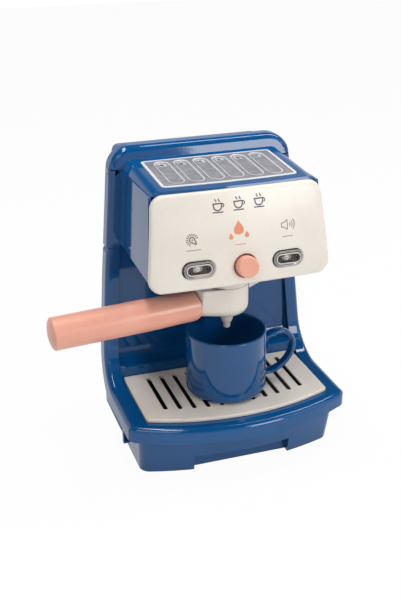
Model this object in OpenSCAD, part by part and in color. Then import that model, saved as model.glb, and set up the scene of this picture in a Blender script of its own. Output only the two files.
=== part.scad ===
// Play kitchen coffee maker with a water pump, light and sound buttons,
// a swinging portafilter, a lift-off tank lid and a loose mug.
// X is the width, Y runs from the front (-) to the back (+), Z is up.
// The origin lies in the middle of the underside that stands on the table.

/* [Tower] */
// Height of the arch above the table
tower_h = 256.5; // [252:0.5:262]
// Half width of the tower, measured at the height of the arch top
tower_half = 79.4; // [77:0.2:82]
// Outward slope of the tower sides, in mm per mm of height
side_slope = 0.082; // [0.07:0.002:0.09]
// Width of the front face of the columns at the top
column_face = 10.8; // [9:0.2:12.5]
// Gain of that width per mm of height towards the base
face_slope = 0.009; // [0.004:0.001:0.012]
// Outer corner radius of the arch
arch_r = 20; // [14:1:24]
// Height of the front face of the arch above the head
arch_face = 11.7; // [9:0.1:13]
// Front face of the columns
column_front = 45; // [44:0.5:47]
// Depth of the side band from front to back
band_depth = 15.2; // [13:0.2:16]
// Forward lean of the columns towards the base, in degrees
column_lean = 4; // [3:0.5:5]
// How far the back wall lies behind the front of the columns
wall_recess = 2.3; // [1:0.1:3.5]
// Wall thickness of the blue mouldings
wall = 2.5; // [2:0.1:3]
// Shut line between neighbouring mouldings
seam = 0.3; // [0.2:0.05:0.5]
// Distance from the head's underside down to the seam of the lower body
waist_drop = 2; // [1:0.5:5]
// Height of the arch cap
cap_h = 18; // [17.5:0.5:19]

/* [Base] */
// Height of the skirt, which is also the underside of the rim
skirt_h = 36.5; // [34:0.5:38]
// Height of the rim's flat top along the sides
rim_top = 50; // [49:0.5:52]
// Height of the rim's front edge
rim_edge = 48.5; // [46:0.5:49]
// Front of the rim on the centre line
rim_front = -77.2; // [-80:0.2:-75]
// Plan radius of the rim's bowed front
rim_bow_r = 195; // [180:5:240]
// Plan corner radius of the rim
rim_corner_r = 12; // [8:1:16]
// Half width of the skirt at the table
skirt_half = 86; // [84:0.5:87]
// Front of the skirt on the centre line, at the table
skirt_front = -57; // [-60:0.5:-55]
// How much wider each side of the skirt is under the rim
skirt_side_taper = 2; // [0.5:0.5:3]
// How much further the skirt's front comes out under the rim
skirt_front_taper = 8; // [4:0.5:10]
// Plan radius of the skirt's bowed front
skirt_bow_r = 260; // [240:10:320]
// Half width of the finger notch in the skirt
notch_half = 42.7; // [36:0.5:46]
// Height of the finger notch
notch_h = 15; // [12:0.5:18]
// Depth of the finger notch
notch_depth = 9; // [7:0.5:10]
// Start of the sweep from the rim into the columns
sweep_y = 8; // [6:0.5:9]
// Radius of that sweep
sweep_r = 33; // [32:0.5:34]

/* [Rear cover] */
// Half width of the rear cover at the table
rear_half = 85.8; // [85:0.2:86.4]
// Height where its sides start to lean in
rear_kink = 43; // [40:1:60]
// How far the edge beside the skirt stands out
rear_lip = 3.4; // [1.5:0.1:3.6]
// Width of that edge
rear_lip_w = 4; // [3:0.5:6]
// Rear face of the rear cover
rear_y = 93; // [90:0.5:96]
// Distance from the arch down to the top of the rear cover
rear_drop = 8.5; // [7:0.5:10]
// Front edge of the rear cover beside the skirt
rear_start = 5; // [3:0.5:8]
// Radius of its long rear edges
rear_edge_r = 9; // [6:0.5:12]
// Slots of the speaker grille in the rear
speaker_slots = 7; // [5:2:9]

/* [Drip tray] */
// Height of the grille's raised slot edges
grille_top = 53.5; // [52.5:0.1:54.5]
// Thickness of the grille plate
grille_t = 3; // [2.5:0.1:3.2]
// How far the raised slot edges stand above the plate
slot_lip = 0.5; // [0.3:0.1:0.8]
// Width of the raised slot edges
slot_lip_w = 0.9; // [0.6:0.1:1.2]
// Half width of the grille
grille_half = 81; // [80:0.2:81.4]
// Front of the grille on the centre line
grille_front = -64; // [-65:0.2:-63]
// Plan radius of the grille's bowed front
grille_bow_r = 202; // [190:2:240]
// Rear edge of the grille
grille_back = 30; // [28:0.5:32]
// Width of the drain slots
slot_w = 3.3; // [2.5:0.1:3.8]
// Distance from the centre line to the first slot
slot_first = 14; // [12:0.5:15]
// Distance between slots
slot_pitch = 11.8; // [11:0.1:12]
// Slots on each side
slot_count = 5; // [3:1:5]
// Distance from the grille's front edge to the slots
slot_front = 17.6; // [14:0.2:20]
// Distance from the grille's rear edge to the slots
slot_back = 9; // [6:0.5:12]
// Floor height of the tray well
well_floor = 39; // [38.5:0.5:40]
// Height of the rear ledge behind the grille
ledge_z = 62; // [60:0.5:64]

/* [Head] */
// Half width of the head at the seam of the top cover
head_half = 70.5; // [70:0.1:71.5]
// Outward slope of the head sides, in mm per mm of height
head_slope = 0.069; // [0.06:0.001:0.075]
// Height of the head at the front
head_h = 71.5; // [70.6:0.1:72]
// Rise of the underside towards the back
head_rise = 3; // [1:0.5:4]
// Distance from the arch down to the head's top
head_drop = 13; // [12.4:0.1:13.5]
// Rise of the top towards the back, in degrees
top_tilt = 2.86; // [2:0.1:3]
// Radius of the head's long top edges
head_edge_r = 9; // [7:0.5:10]

/* [Control panel] */
// Distance from the arch down to the panel's middle
panel_drop = 53.45; // [53.1:0.05:53.9]
// Front of the panel's middle, before its bulge
panel_y = -48.85; // [-50:0.05:-48]
// Backward lean of the panel in degrees
panel_lean = 10; // [9:0.5:11]
// Height of the panel along its face
panel_h = 76.8; // [75:0.2:78]
// Half width of the panel at its bottom edge
panel_half_low = 77.1; // [76:0.1:78]
// Half width of the panel at its top edge
panel_half_high = 69.8; // [69:0.1:70.4]
// Corner radius of the panel
panel_corner_r = 11; // [8:0.5:13]
// Bulge of the panel's middle
panel_bulge = 2; // [1:0.1:3]
// Plan radius of the panel
panel_bow_r = 685; // [500:5:900]
// Thickness of the panel
panel_t = 4.5; // [3.5:0.1:5]

/* [Buttons] */
// Half the distance between the light and sound buttons
side_button_x = 37.4; // [34:0.1:40]
// Sideways place of the middle between them
side_button_mid = 1; // [0:0.1:2]
// Height of the light and sound buttons on the panel, from its middle
side_button_v = -21.7; // [-22:0.1:-20]
// Length of the light and sound buttons
side_button_w = 26.4; // [24:0.2:28]
// Width of the light and sound buttons
side_button_h = 13.6; // [13:0.2:14.4]
// How far the light and sound buttons stand out
side_button_out = 1.9; // [1.8:0.1:3.5]
// Travel of the light and sound buttons
side_button_travel = 1.5; // [1:0.1:1.8]
// Sideways place of the steam button
steam_x = 2; // [0:0.5:4]
// Height of the steam button on the panel, from its middle
steam_v = -23.1; // [-23.6:0.1:-22.6]
// Radius of the steam button
steam_r = 8.6; // [8:0.1:9.2]
// Radial gap round the steam button
steam_gap = 1.2; // [0.6:0.1:1.6]
// How far the steam button stands out
steam_out = 8; // [6:0.2:9]
// Travel of the steam button
steam_travel = 4; // [3:0.1:4.5]
// Clearance round the light and sound buttons
button_gap = 0.4; // [0.3:0.05:0.6]

/* [Tank] */
// Half width of the tank lid
lid_half = 56.8; // [55:0.2:58]
// Front edge of the tank lid
lid_front = -26; // [-27:0.5:-24]
// Rear edge of the tank lid
lid_back = 38.5; // [36:0.5:39.5]
// Bow of the lid's front edge
lid_bow = 2; // [1:0.2:2.6]
// Thickness of the lid
lid_t = 2.6; // [2:0.1:3]
// Channels in the lid
lid_channels = 6; // [4:1:8]
// Depth of the water tank
tank_depth = 34; // [28:1:38]
// Wall thickness of the water tank
tank_wall = 1.8; // [1.5:0.1:2.2]

/* [Portafilter] */
// Depth position of the portafilter's turning axis
group_y = -16; // [-17:0.5:-15]
// Radius of the cup
cup_r = 17.9; // [17:0.1:19]
// Distance from the head's underside down to the cup
cup_drop = 29; // [28.6:0.1:29.5]
// Height of the cup
cup_h = 18.3; // [17.5:0.1:19]
// Rounding of the cup's lower edge
cup_edge_r = 11.5; // [8:0.5:12]
// Wall thickness of the cup
cup_wall = 2; // [1.6:0.1:2.4]
// Half width of the group collar across its lugs
collar_half = 28.5; // [26:0.1:29.2]
// Half depth of the collar's lugs
lug_depth = 7; // [5:0.1:9]
// Distance from the cup's top down to the handle's axis
handle_drop = 6.6; // [6.2:0.1:7]
// Radius of the handle
handle_r = 13.5; // [12:0.1:13.8]
// Length from the cup's axis to the end of the handle
handle_reach = 153.5; // [140:0.5:158]
// Turn of the handle towards the front at rest, in degrees
handle_turn = 4; // [0:0.5:8]
// Droop of the handle in degrees
handle_droop = 1.4; // [0:0.1:2]
// Radius of the saddle in the handle's inner end
saddle_r = 29.4; // [29.1:0.1:30]
// Radius of the neck at the handle
neck_r = 10.5; // [9:0.1:11]
// Radius of the neck at the cup's axis
neck_root_r = 11.6; // [10.6:0.1:11.7]
// Radius of the nozzle at the cup
nozzle_top_r = 7.3; // [6.5:0.1:7.6]
// Radius of the nozzle's bell in its profile
nozzle_bell_r = 4.9; // [4.4:0.1:5.2]
// Length of the nozzle under the cup
nozzle_l = 14.3; // [12.5:0.1:14.4]

/* [Mug] */
// Sideways place of the mug
mug_x = -1; // [-2:0.1:1]
// Depth place of the mug
mug_y = -16.6; // [-18:0.1:-10]
// Outer radius of the mug
mug_r = 34.5; // [32:0.1:36]
// Gap between the mug's rim and the nozzle
mug_gap = 0.4; // [0.3:0.1:6]
// Wall thickness of the mug
mug_wall = 2.4; // [2:0.1:3]
// Half length of the mug's oval handle, as a share of the mug's height
mug_ring_long = 0.413; // [0.38:0.005:0.43]
// Half width of that oval, as a share of the mug's height
mug_ring_short = 0.328; // [0.3:0.005:0.35]
// Distance of the handle's centre from the mug's wall
mug_ring_x = 8.6; // [7:0.1:10]
// Thickness of the mug's handle
mug_handle_t = 3.8; // [3:0.1:5]
// Width of the mug's handle
mug_handle_w = 8; // [6.5:0.1:9]

/* [Inside] */
// Radius of the battery cells
cell_r = 7.2; // [7:0.05:7.25]
// Length of the battery cells
cell_l = 50; // [49.5:0.1:50.5]
// Radius of the screws' shanks
screw_r = 1.5; // [1.2:0.1:1.6]
// Bore radius of the water pump
pump_bore_r = 3.6; // [3.2:0.1:3.8]
// Running clearance of the pump's piston
piston_gap = 0.05; // [0.03:0.01:0.08]

/* [Hidden] */

steps = 8;
big_fn = 360;
part_fn = 96;
small_fn = 48;

blue = "#3a6a9a";
cream = "#e4ddd2";
pink = "#ecaa94";
smoke = "#a8a8ae";
steel = "#b8babd";
black = "#202224";

rim_bottom = skirt_h;
cap_z = tower_h - cap_h;
rear_h = tower_h - rear_drop;
head_top = tower_h - head_drop;
head_bottom = head_top - head_h;
waist_z = head_bottom - waist_drop;
panel_z = tower_h - panel_drop;
column_back = column_front + band_depth;
wall_front = column_front + wall_recess;
wall_back = wall_front + wall;
arch_inner = tower_h - arch_face;
grille_plate = grille_top - slot_lip;
grille_under = grille_plate - grille_t;
notch_wall = skirt_front + notch_depth;
battery_y = 56;
door_top = 2.3;
cell_z = door_top + 0.3 + cell_r;
battery_half_x = cell_l / 2 + 6;
battery_half_y = 2 * cell_r + 2.2;
door_half_x = 34;
door_front = 20;
door_tab = 27;
door_screw_y = battery_y + 22.5;
bulge_r = panel_h * panel_h / 8 / panel_bulge;
panel_setback = panel_half_low * panel_half_low / 2 / panel_bow_r - 0.4;
cup_top = head_bottom - cup_drop;
cup_bottom = cup_top - cup_h;
handle_z = cup_top - handle_drop;
nozzle_tip = cup_bottom - nozzle_l;
collar_low = cup_top + 0.5;
lug_low = collar_low + 2.3;
lug_rise = 4.6;
mug_foot = grille_top + 0.1;
mug_h = nozzle_tip - mug_gap - mug_foot;
manifold_y = -17;
manifold_x = 1;
manifold_z = head_bottom - 4;
tube_r = 2.2;
manifold = [12, 10, 12];
steam_base = -8;
pump_start = steam_base - steam_travel - 3;
pump_end = pump_start - 19;
pump_wall = 1.7;
handle_in = saddle_r - 6;
tenon_r = 6;
tenon_end = 54;
handle_screw_s = 44;
front_screw = [60, -30];
rear_screw = [rear_half - 7.3, rear_y - 11];
top_screw = [46, tower_h - 42.5];
speaker_z = 120;
speaker_r = 18;
board_t = 1.6;
board_n = -17;
board_half = 58;
post_v = [-8, 4];
board_low = -24.6;
board_high = 8;
switch_w = 5.6;
switch_h = 1.6;
switch_top = board_n + board_t + switch_h;
flange_t = 1.4;
flange_low = -7.6;
leg_x = 9;
leg_r = 1.5;
leg_low = switch_top + side_button_travel + 0.2;
side_button_top = side_button_out + 0.4;
lid_z = 0.4;
tank_low = lid_z - lid_t - 2.4 - tank_depth;
opening_gap = 0.4;
ledge_w = 3;

// Points on an arc, from angle a0 to a1
function arc(cx, cy, r, a0, a1, n = steps) =
    [for (i = [0 : n]) [cx + r * cos(a0 + (a1 - a0) * i / n), cy + r * sin(a0 + (a1 - a0) * i / n)]];

// Half widths of the tower, the bay between its columns, the rear cover and the head
function outer_half(z) = tower_half + side_slope * (tower_h - z);
function inner_half(z) = outer_half(z) - column_face - face_slope * (tower_h - z);
function cover_half(z) = rear_half - side_slope * max(0, z - rear_kink);
function head_side(z) = head_half + head_slope * (cap_z - z);
function head_front(z) = panel_y + panel_t + panel_setback + (z - panel_z) * tan(panel_lean);
function head_floor(y) = head_bottom + head_rise * (y - head_front(head_bottom)) / (wall_front + 0.5 - head_front(head_bottom));
function side_x(side) = side_button_mid + side * side_button_x;
function panel_side(v) = panel_half_low + (panel_half_high - panel_half_low) * (v / panel_h + 0.5);

// Plan outline with a bowed front, used by the rim, the skirt and the grille
function bowed_plan(half, front, bow, corner, back, back_corner) =
    let (turn = asin((half - corner) / (bow - corner)),
         corner_y = front + bow - (bow - corner) * cos(turn))
    concat(arc(0, front + bow, bow, -90 - turn, -90 + turn, 16),
           arc(half - corner, corner_y, corner, -90 + turn, 0),
           arc(half - back_corner, back - back_corner, back_corner, 0, 90),
           arc(back_corner - half, back - back_corner, back_corner, 90, 180),
           arc(corner - half, corner_y, corner, 180, 270 - turn));

// Outline of the tower from the front, inset on all sides but the bottom
function tower_outline(inset, low) =
    let (tilt = atan(side_slope),
         mid_z = tower_h - arch_r,
         mid_x = outer_half(mid_z) - arch_r / cos(tilt))
    concat([[inset / cos(tilt) - outer_half(low), low], [outer_half(low) - inset / cos(tilt), low]],
           arc(mid_x, mid_z, arch_r - inset, tilt, 90),
           arc(-mid_x, mid_z, arch_r - inset, 90, 180 - tilt));

// Outline of the bay between the columns
function bay_outline(inset, low, high) =
    [[inset - inner_half(low), low], [inner_half(low) - inset, low],
     [inner_half(high) - inset, high], [inset - inner_half(high), high]];

// Line of the sweep in side view, moved back by the given depth
function sweep_line(depth) =
    let (r = sweep_r + depth,
         mid_z = rim_top + sweep_r,
         end_y = sweep_y + r * cos(column_lean),
         end_z = mid_z - r * sin(column_lean),
         bend_z = end_z + (column_front + depth - end_y) / tan(column_lean))
    concat([[-100, rim_top - depth]], arc(sweep_y, mid_z, r, -90, -column_lean, 12),
           [[column_front + depth, bend_z]]);

// Rounded rectangle between two corners
function soft_rect(x0, x1, y0, y1, r) =
    concat(arc(x1 - r, y1 - r, r, 0, 90), arc(x0 + r, y1 - r, r, 90, 180),
           arc(x0 + r, y0 + r, r, 180, 270), arc(x1 - r, y0 + r, r, 270, 360));

// Extrude an XZ outline along the depth, and a YZ outline across the width
module front_view(y0, y1) {
    translate([0, y1, 0]) rotate([90, 0, 0]) linear_extrude(y1 - y0) children();
}

module side_view(x0, x1) {
    translate([x0, 0, 0]) rotate([90, 0, 90]) linear_extrude(x1 - x0) children();
}

module plan_view(z0, z1) {
    translate([0, 0, z0]) linear_extrude(z1 - z0) children();
}

module slab(z0, z1) {
    translate([-150, -150, z0]) cube([300, 300, z1 - z0]);
}

// Frame on the panel's face: X across, Y up the face and Z out of it
module on_panel(x = 0, v = 0) {
    translate([0, panel_y, panel_z]) rotate([90 - panel_lean, 0, 0]) translate([x, v, 0]) children();
}

// Frame on the head's top, with Z square to it
module on_top() {
    translate([0, 0, head_top]) rotate([top_tilt, 0, 0]) children();
}

// Frame along the portafilter's handle, with Z towards its end
module on_handle() {
    translate([0, group_y, handle_z]) rotate([0, 0, 180 + handle_turn])
        rotate([0, 90 + handle_droop, 0]) children();
}

module tube(r_out, r_in, h, fn = small_fn) {
    difference() {
        cylinder(r = r_out, h = h, $fn = fn);
        translate([0, 0, -1]) cylinder(r = r_in, h = h + 2, $fn = fn);
    }
}

// Rounded bar outline, w long and h wide
module stadium(w, h) {
    square([w - h, h], center = true);
    for (side = [-1, 1]) translate([side * (w - h) / 2, 0]) circle(d = h, $fn = small_fn);
}

// Coil spring along Z: rings of points that follow a helix, joined into one tube
module coil(r, wire, h, turns) {
    per_turn = 12;
    sides = 6;
    rings = turns * per_turn;
    points = [for (i = [0 : rings], k = [0 : sides - 1])
        let (turn = 360 * i / per_turn, around = 360 * k / sides, out = r + wire * cos(around))
        [out * cos(turn), out * sin(turn), wire + (h - 2 * wire) * i / rings + wire * sin(around)]];
    polyhedron(points, concat(
        [[for (k = [0 : sides - 1]) k]],
        [for (i = [0 : rings - 1], k = [0 : sides - 1])
            let (a = i * sides + k, b = i * sides + (k + 1) % sides) [a, a + sides, b + sides, b]],
        [[for (k = [sides - 1 : -1 : 0]) rings * sides + k]]));
}

module each_side() {
    children();
    mirror([1, 0, 0]) children();
}

module grille_outline(grow) {
    polygon(bowed_plan(grille_half + grow, grille_front - grow, grille_bow_r + grow, max(1, 4 + grow),
                       grille_back + grow, max(0.5, 1 + grow)));
}

// Plan of the skirt at the table (share 0) or under the rim (share 1)
module skirt_outline(inset, share, back) {
    polygon(bowed_plan(skirt_half + skirt_side_taper * share - inset,
                       skirt_front - skirt_front_taper * share + inset,
                       skirt_bow_r - inset, 10 - inset, back, 0.5));
}

// Skirt that widens towards the rim
module skirt_solid(inset, low, high, back) {
    hull() {
        plan_view(low, low + 0.01) skirt_outline(inset, 0, back);
        plan_view(high - 0.01, high) skirt_outline(inset, 1, back);
    }
}

module notch(grow) {
    translate([-notch_half - grow, skirt_front - 30, -1])
        cube([2 * (notch_half + grow), 30 + notch_depth + grow, notch_h + grow + 1]);
}

// Profile of the glossy slope on the front rim, swept about the rim's plan centre
module rim_slope_cut() {
    inner_r = rim_bow_r - (grille_front - rim_front) + 1;
    translate([0, rim_front + rim_bow_r, 0]) rotate_extrude($fn = big_fn) polygon(concat(
        [[inner_r, 70]], [[inner_r, grille_plate - 0.4]],
        [for (i = [1 : steps]) [inner_r + (rim_bow_r - inner_r) * i / steps,
            rim_edge + (grille_plate - 0.4 - rim_edge) * pow(1 - i / steps, 1.6)]],
        [[rim_bow_r + 1, rim_edge], [rim_bow_r + 1, 70]]));
}

module side_band() {
    intersection() {
        front_view(-90, 90) polygon(tower_outline(0, rim_bottom));
        plan_view(rim_bottom, waist_z - seam) polygon(bowed_plan(outer_half(rim_bottom), rim_front,
            rim_bow_r, rim_corner_r, column_back, 0.5));
        side_view(-120, 120) polygon(concat(sweep_line(0), [[column_front, 300], [column_back, 300]],
            [for (i = [len(sweep_line(band_depth)) - 1 : -1 : 0]) sweep_line(band_depth)[i]]));
    }
}

module front_rim() {
    difference() {
        intersection() {
            plan_view(rim_bottom, grille_plate - 0.4) polygon(bowed_plan(outer_half(rim_bottom),
                rim_front, rim_bow_r, rim_corner_r, -20, 0.5));
            front_view(-90, 90) polygon(tower_outline(0, rim_bottom));
        }
        rim_slope_cut();
        side_view(-150, 150) polygon([[-58, 60], [-58, grille_plate - 0.4], [-30, rim_top], [20, rim_top], [20, 60]]);
    }
}

// Skirt, rim, swept sides, tray well and back wall up to the waist
module lower_body() {
    color(blue) {
        difference() {
            union() {
                side_band();
                front_rim();
                plan_view(rim_bottom, well_floor + 4) grille_outline(2);
            }
            front_view(-90, 90) polygon(bay_outline(0, rim_top, waist_z + 1));
            plan_view(grille_under - 0.2, 80) grille_outline(0.4);
            plan_view(well_floor, 60) grille_outline(-wall);
            translate([wall - inner_half(rim_top), grille_back + 0.4 + wall, rim_bottom - 1])
                cube([2 * (inner_half(rim_top) - wall), 40, rim_top - rim_bottom + 2]);
        }
        difference() {
            skirt_solid(0, 0, rim_bottom + 0.01, rear_start - seam);
            skirt_solid(wall, -1, rim_bottom + 1, rear_start + 1);
            notch(0);
        }
        intersection() {
            difference() {
                notch(wall);
                notch(0);
            }
            skirt_solid(0.5, 0, rim_bottom, rear_start - 1);
        }
        front_view(wall_front, wall_back) polygon(bay_outline(-1, ledge_z - wall, waist_z - seam));
        back_ledge();
        each_side() front_screw_boss();
    }
}

// Upright step behind the grille, its ledge and the concave foot of the back wall
module back_ledge() {
    fillet_r = wall_front - grille_back - 5;
    side = inner_half(ledge_z) + 1;
    foot = cover_half(0) - wall - seam;
    foot_top = rim_bottom + 6;
    intersection() {
        side_view(-side, side) polygon(concat(
            [[grille_back + 0.4, rim_bottom], [grille_back + 0.4, ledge_z - 1], [grille_back + 1.4, ledge_z]],
            arc(wall_front - fillet_r, ledge_z + fillet_r, fillet_r, -90, 0),
            [[wall_back, ledge_z + fillet_r], [wall_back, ledge_z - wall],
             [grille_back + 0.4 + wall, ledge_z - wall], [grille_back + 0.4 + wall, rim_bottom]]));
        front_view(0, column_back) polygon([[-foot, 0], [foot, 0], [foot, foot_top], [side + 1, foot_top],
            [side + 1, 120], [-side - 1, 120], [-side - 1, foot_top], [-foot, foot_top]]);
    }
}

module front_screw_boss() {
    translate([front_screw[0], front_screw[1], wall + seam]) tube(4.5, screw_r - 0.2, rim_bottom - wall - seam);
}

// Columns, back wall, and the sides and floor of the head
module upper_housing() {
    color(blue) difference() {
        union() {
            difference() {
                front_view(column_front, column_back) intersection() {
                    polygon(tower_outline(0, waist_z));
                    translate([-150, waist_z]) square([300, cap_z - waist_z]);
                }
                front_view(column_front - 1, wall_front) polygon(bay_outline(0, waist_z - 1, cap_z + 1));
                front_view(wall_back, column_back + 1) polygon(bay_outline(0, waist_z - 1, cap_z + 1));
            }
            head_shell();
            each_side() translate([top_screw[0], wall_back - 0.5, top_screw[1]]) rotate([-90, 0, 0])
                tube(4.5, screw_r - 0.2, column_back - wall_back + 0.5);
        }
        translate([-38, wall_front - 1, head_bottom + 12]) cube([76, wall + 3, 48]);
        on_panel(steam_x, steam_v) translate([0, 0, -16]) cylinder(r = steam_r + 4, h = 20, $fn = part_fn);
        for (side = [-1, 1]) on_panel(side_x(side), side_button_v) button_layer(-12, 4, 3);
        pump_room();
    }
}

module head_outline(inset, low) {
    polygon([[inset - head_side(low), low], [head_side(low) - inset, low],
             [head_side(cap_z - seam) - inset, cap_z - seam], [inset - head_side(cap_z - seam), cap_z - seam]]);
}

// Side view of the head: its front follows the back of the panel
module head_profile(inset) {
    open = inset > 0 ? 10 : 0;
    polygon([[head_front(head_bottom) - open, head_bottom + inset],
             [wall_front + 0.5, head_floor(wall_front + 0.5) + inset],
             [wall_front + 0.5, cap_z - seam + open],
             [head_front(cap_z) - open, cap_z - seam + open]]);
}

module head_shell() {
    difference() {
        union() {
            intersection() {
                front_view(-60, wall_front + 0.5) head_outline(0, head_bottom);
                side_view(-100, 100) head_profile(0);
            }
            each_side() intersection() {
                front_view(28, column_front + 0.5) head_outline(-1, head_bottom + head_rise);
                translate([head_half - 8, 0, 0]) cube([30, 60, cap_z - seam]);
            }
        }
        intersection() {
            front_view(-70, wall_front) head_outline(wall, head_bottom - 1);
            side_view(-100, 100) head_profile(wall);
        }
        translate([-100, -80, cap_z - seam]) cube([200, 150, 20]);
    }
}

// Space for the pump and the tubes under the head floor
module pump_room() {
    on_panel(steam_x, steam_v) translate([0, 0, pump_end - 4])
        cylinder(r = pump_bore_r + pump_wall + 0.5, h = 24, $fn = part_fn);
    translate([manifold_x - manifold[0] / 2 - 3, manifold_y - manifold[1] / 2 - 3, manifold_z - 3])
        cube([manifold[0] + 6, manifold[1] + 6, manifold[2] + 6]);
}

// Head top with its tank opening, and the arch cap
module top_cover() {
    color(blue) difference() {
        union() {
            intersection() {
                on_top() front_view(-60, 60) top_outline(0);
                slab(cap_z, tower_h);
                on_panel() translate([-100, -20, -120]) cube([200, 80, 120]);
                translate([-100, -80, 0]) cube([200, 80 + column_front + 1, 300]);
            }
            front_view(column_front, column_back) intersection() {
                polygon(tower_outline(0, cap_z));
                translate([-150, cap_z]) square([300, 30]);
            }
        }
        on_panel() panel_sheet(-20, panel_t + seam);
        intersection() {
            on_top() front_view(-70, 60) top_outline(wall);
            translate([-100, -80, 0]) cube([200, 80 + column_front - 1, 300]);
        }
        on_top() {
            plan_view(lid_z - lid_t - 0.2, 5) lid_outline(opening_gap);
            plan_view(-20, 5) lid_outline(-ledge_w);
        }
    }
    color(blue) on_top() difference() {
        plan_view(lid_z - lid_t - 2.2, lid_z - lid_t - 0.2) lid_outline(3);
        plan_view(-20, 5) lid_outline(-ledge_w);
    }
}

module top_outline(inset) {
    half = head_side(cap_z) - inset;
    flare = head_slope * 20;
    r = head_edge_r - inset;
    polygon(concat([[-half - flare, -20], [half + flare, -20]],
        arc(half - head_edge_r + inset, -head_edge_r, r, 0, 90),
        arc(head_edge_r - inset - half, -head_edge_r, r, 90, 180)));
}

module lid_outline(grow) {
    bow_r = lid_half * lid_half / 2 / lid_bow;
    polygon(bowed_plan(lid_half + grow, lid_front - lid_bow - grow, bow_r + grow, 4 + grow,
                       lid_back + grow, 3 + grow));
}

// Rear shell from the table to the top
module rear_cover() {
    color(blue) difference() {
        union() {
            difference() {
                rear_solid(0);
                rear_solid(wall);
                speaker_grille();
            }
            intersection() {
                each_side() translate([rear_screw[0], rear_screw[1], wall + seam])
                    tube(5.5, screw_r - 0.2, 30);
                rear_solid(0.5);
            }
            each_side() translate([rear_half - 1, rear_start, 0])
                cube([rear_lip + 1, rear_lip_w, rim_bottom - seam]);
            each_side() translate([top_screw[0], column_back + seam, top_screw[1]]) rotate([-90, 0, 0])
                cylinder(r = 5, h = rear_y - column_back - seam - 1, $fn = small_fn);
            translate([0, rear_y - wall - 5, speaker_z]) rotate([-90, 0, 0]) tube(speaker_r + 2.3, speaker_r + 0.3, 6);
        }
        each_side() translate([top_screw[0], column_back - 1, top_screw[1]]) rotate([-90, 0, 0]) {
            cylinder(r = screw_r + 0.2, h = 60, $fn = small_fn);
            translate([0, 0, 8]) cylinder(r = 3.4, h = 60, $fn = small_fn);
        }
    }
}

module rear_solid(inset) {
    top_r = 7;
    top_half = cover_half(rear_h - top_r) - inset;
    open = inset > 0 ? 30 : 0;
    difference() {
        intersection() {
            front_view(-20, rear_y - inset) polygon(concat(
                [[inset - rear_half, rear_kink], [inset - rear_half, -5],
                 [rear_half - inset, -5], [rear_half - inset, rear_kink]],
                arc(top_half - top_r + inset, rear_h - top_r, top_r - inset, 0, 90),
                arc(top_r - inset - top_half, rear_h - top_r, top_r - inset, 90, 180)));
            side_view(-120, 120) polygon(concat(
                [[rear_start - open, -open / 10], [rear_start - open, rim_bottom - seam + inset]],
                [for (p = sweep_line(band_depth + seam)) if (p[0] > rear_start && p[1] < waist_z)
                    [p[0] - open, max(p[1], rim_bottom - seam)]],
                [[column_back + seam - open, 300], [rear_y + 1, 300], [rear_y + 1, -open / 10]]));
        }
        each_side() for (lean = [0, 1]) translate([rear_half - inset, rear_y - inset, lean * rear_kink])
            rotate([0, -lean * atan(side_slope), 0]) difference() {
                edge = rear_edge_r - inset;
                translate([-edge, -edge, -20]) cube([edge + 5, edge + 5, 300]);
                translate([-edge, -edge, -21]) cylinder(r = edge, h = 302, $fn = part_fn);
            }
    }
}

module speaker_grille() {
    for (i = [0 : speaker_slots - 1]) {
        off = (i - (speaker_slots - 1) / 2) * 4.5;
        translate([off, rear_y - 10, speaker_z]) rotate([-90, 0, 0]) linear_extrude(20)
            rotate(90) stadium(2 * sqrt(pow(speaker_r - 3, 2) - off * off), 1.8);
    }
}

// Bottom plate with the battery box
module base_plate() {
    color(black) difference() {
        union() {
            plan_view(0, wall) polygon(bowed_plan(skirt_half - wall - seam, skirt_front + wall + seam,
                skirt_bow_r - wall - seam, 7, rear_start + 6, 0.5));
            plan_view(0, wall) polygon(soft_rect(seam + wall - cover_half(wall),
                cover_half(wall) - wall - seam, rear_start + 1, rear_y - wall - seam, 6));
            translate([-battery_half_x - 2, battery_y - battery_half_y - 2, 1])
                cube([2 * battery_half_x + 4, 2 * battery_half_y + 4, cell_z + cell_r + 2]);
        }
        notch(wall + seam);
        translate([-battery_half_x, battery_y - battery_half_y, -1])
            cube([2 * battery_half_x, 2 * battery_half_y, cell_z + cell_r + 2]);
        translate([-door_half_x, battery_y - door_front, -1])
            cube([2 * door_half_x, door_front + door_tab, 2.5]);
        each_side() {
            for (p = [front_screw, rear_screw]) translate([p[0], p[1], -1]) {
                cylinder(r = screw_r + 0.2, h = 10, $fn = small_fn);
                cylinder(r = 3.2, h = 2.2, $fn = small_fn);
            }
        }
        translate([0, door_screw_y, -1]) cylinder(r = screw_r - 0.2, h = 12, $fn = small_fn);
    }
    color(black) translate([0, door_screw_y, wall - 0.5]) tube(3.5, screw_r - 0.2, 6);
}

module battery_door() {
    color(black) difference() {
        union() {
            translate([seam - door_half_x, battery_y - door_front + seam, 0.1])
                cube([2 * (door_half_x - seam), door_front + door_tab - 2 * seam, 1.3]);
            translate([0.6 - battery_half_x, battery_y - battery_half_y + 0.6, 1.3])
                cube([2 * battery_half_x - 1.2, 2 * battery_half_y - 1.2, door_top - 1.3]);
        }
        translate([0, door_screw_y, -1]) {
            cylinder(r = screw_r + 0.2, h = 4, $fn = small_fn);
            cylinder(r = 3.1, h = 1.7, $fn = small_fn);
        }
        for (i = [-2 : 2]) translate([i * 3 - 1, battery_y - 15, -1]) cube([1.2, 8, 1.6]);
    }
}

module battery_door_screw() {
    color(steel) translate([0, door_screw_y, 0.2]) {
        cylinder(r = screw_r - 0.25, h = 6.5, $fn = small_fn);
        cylinder(r = 2.8, h = 0.45, $fn = small_fn);
    }
}

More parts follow.
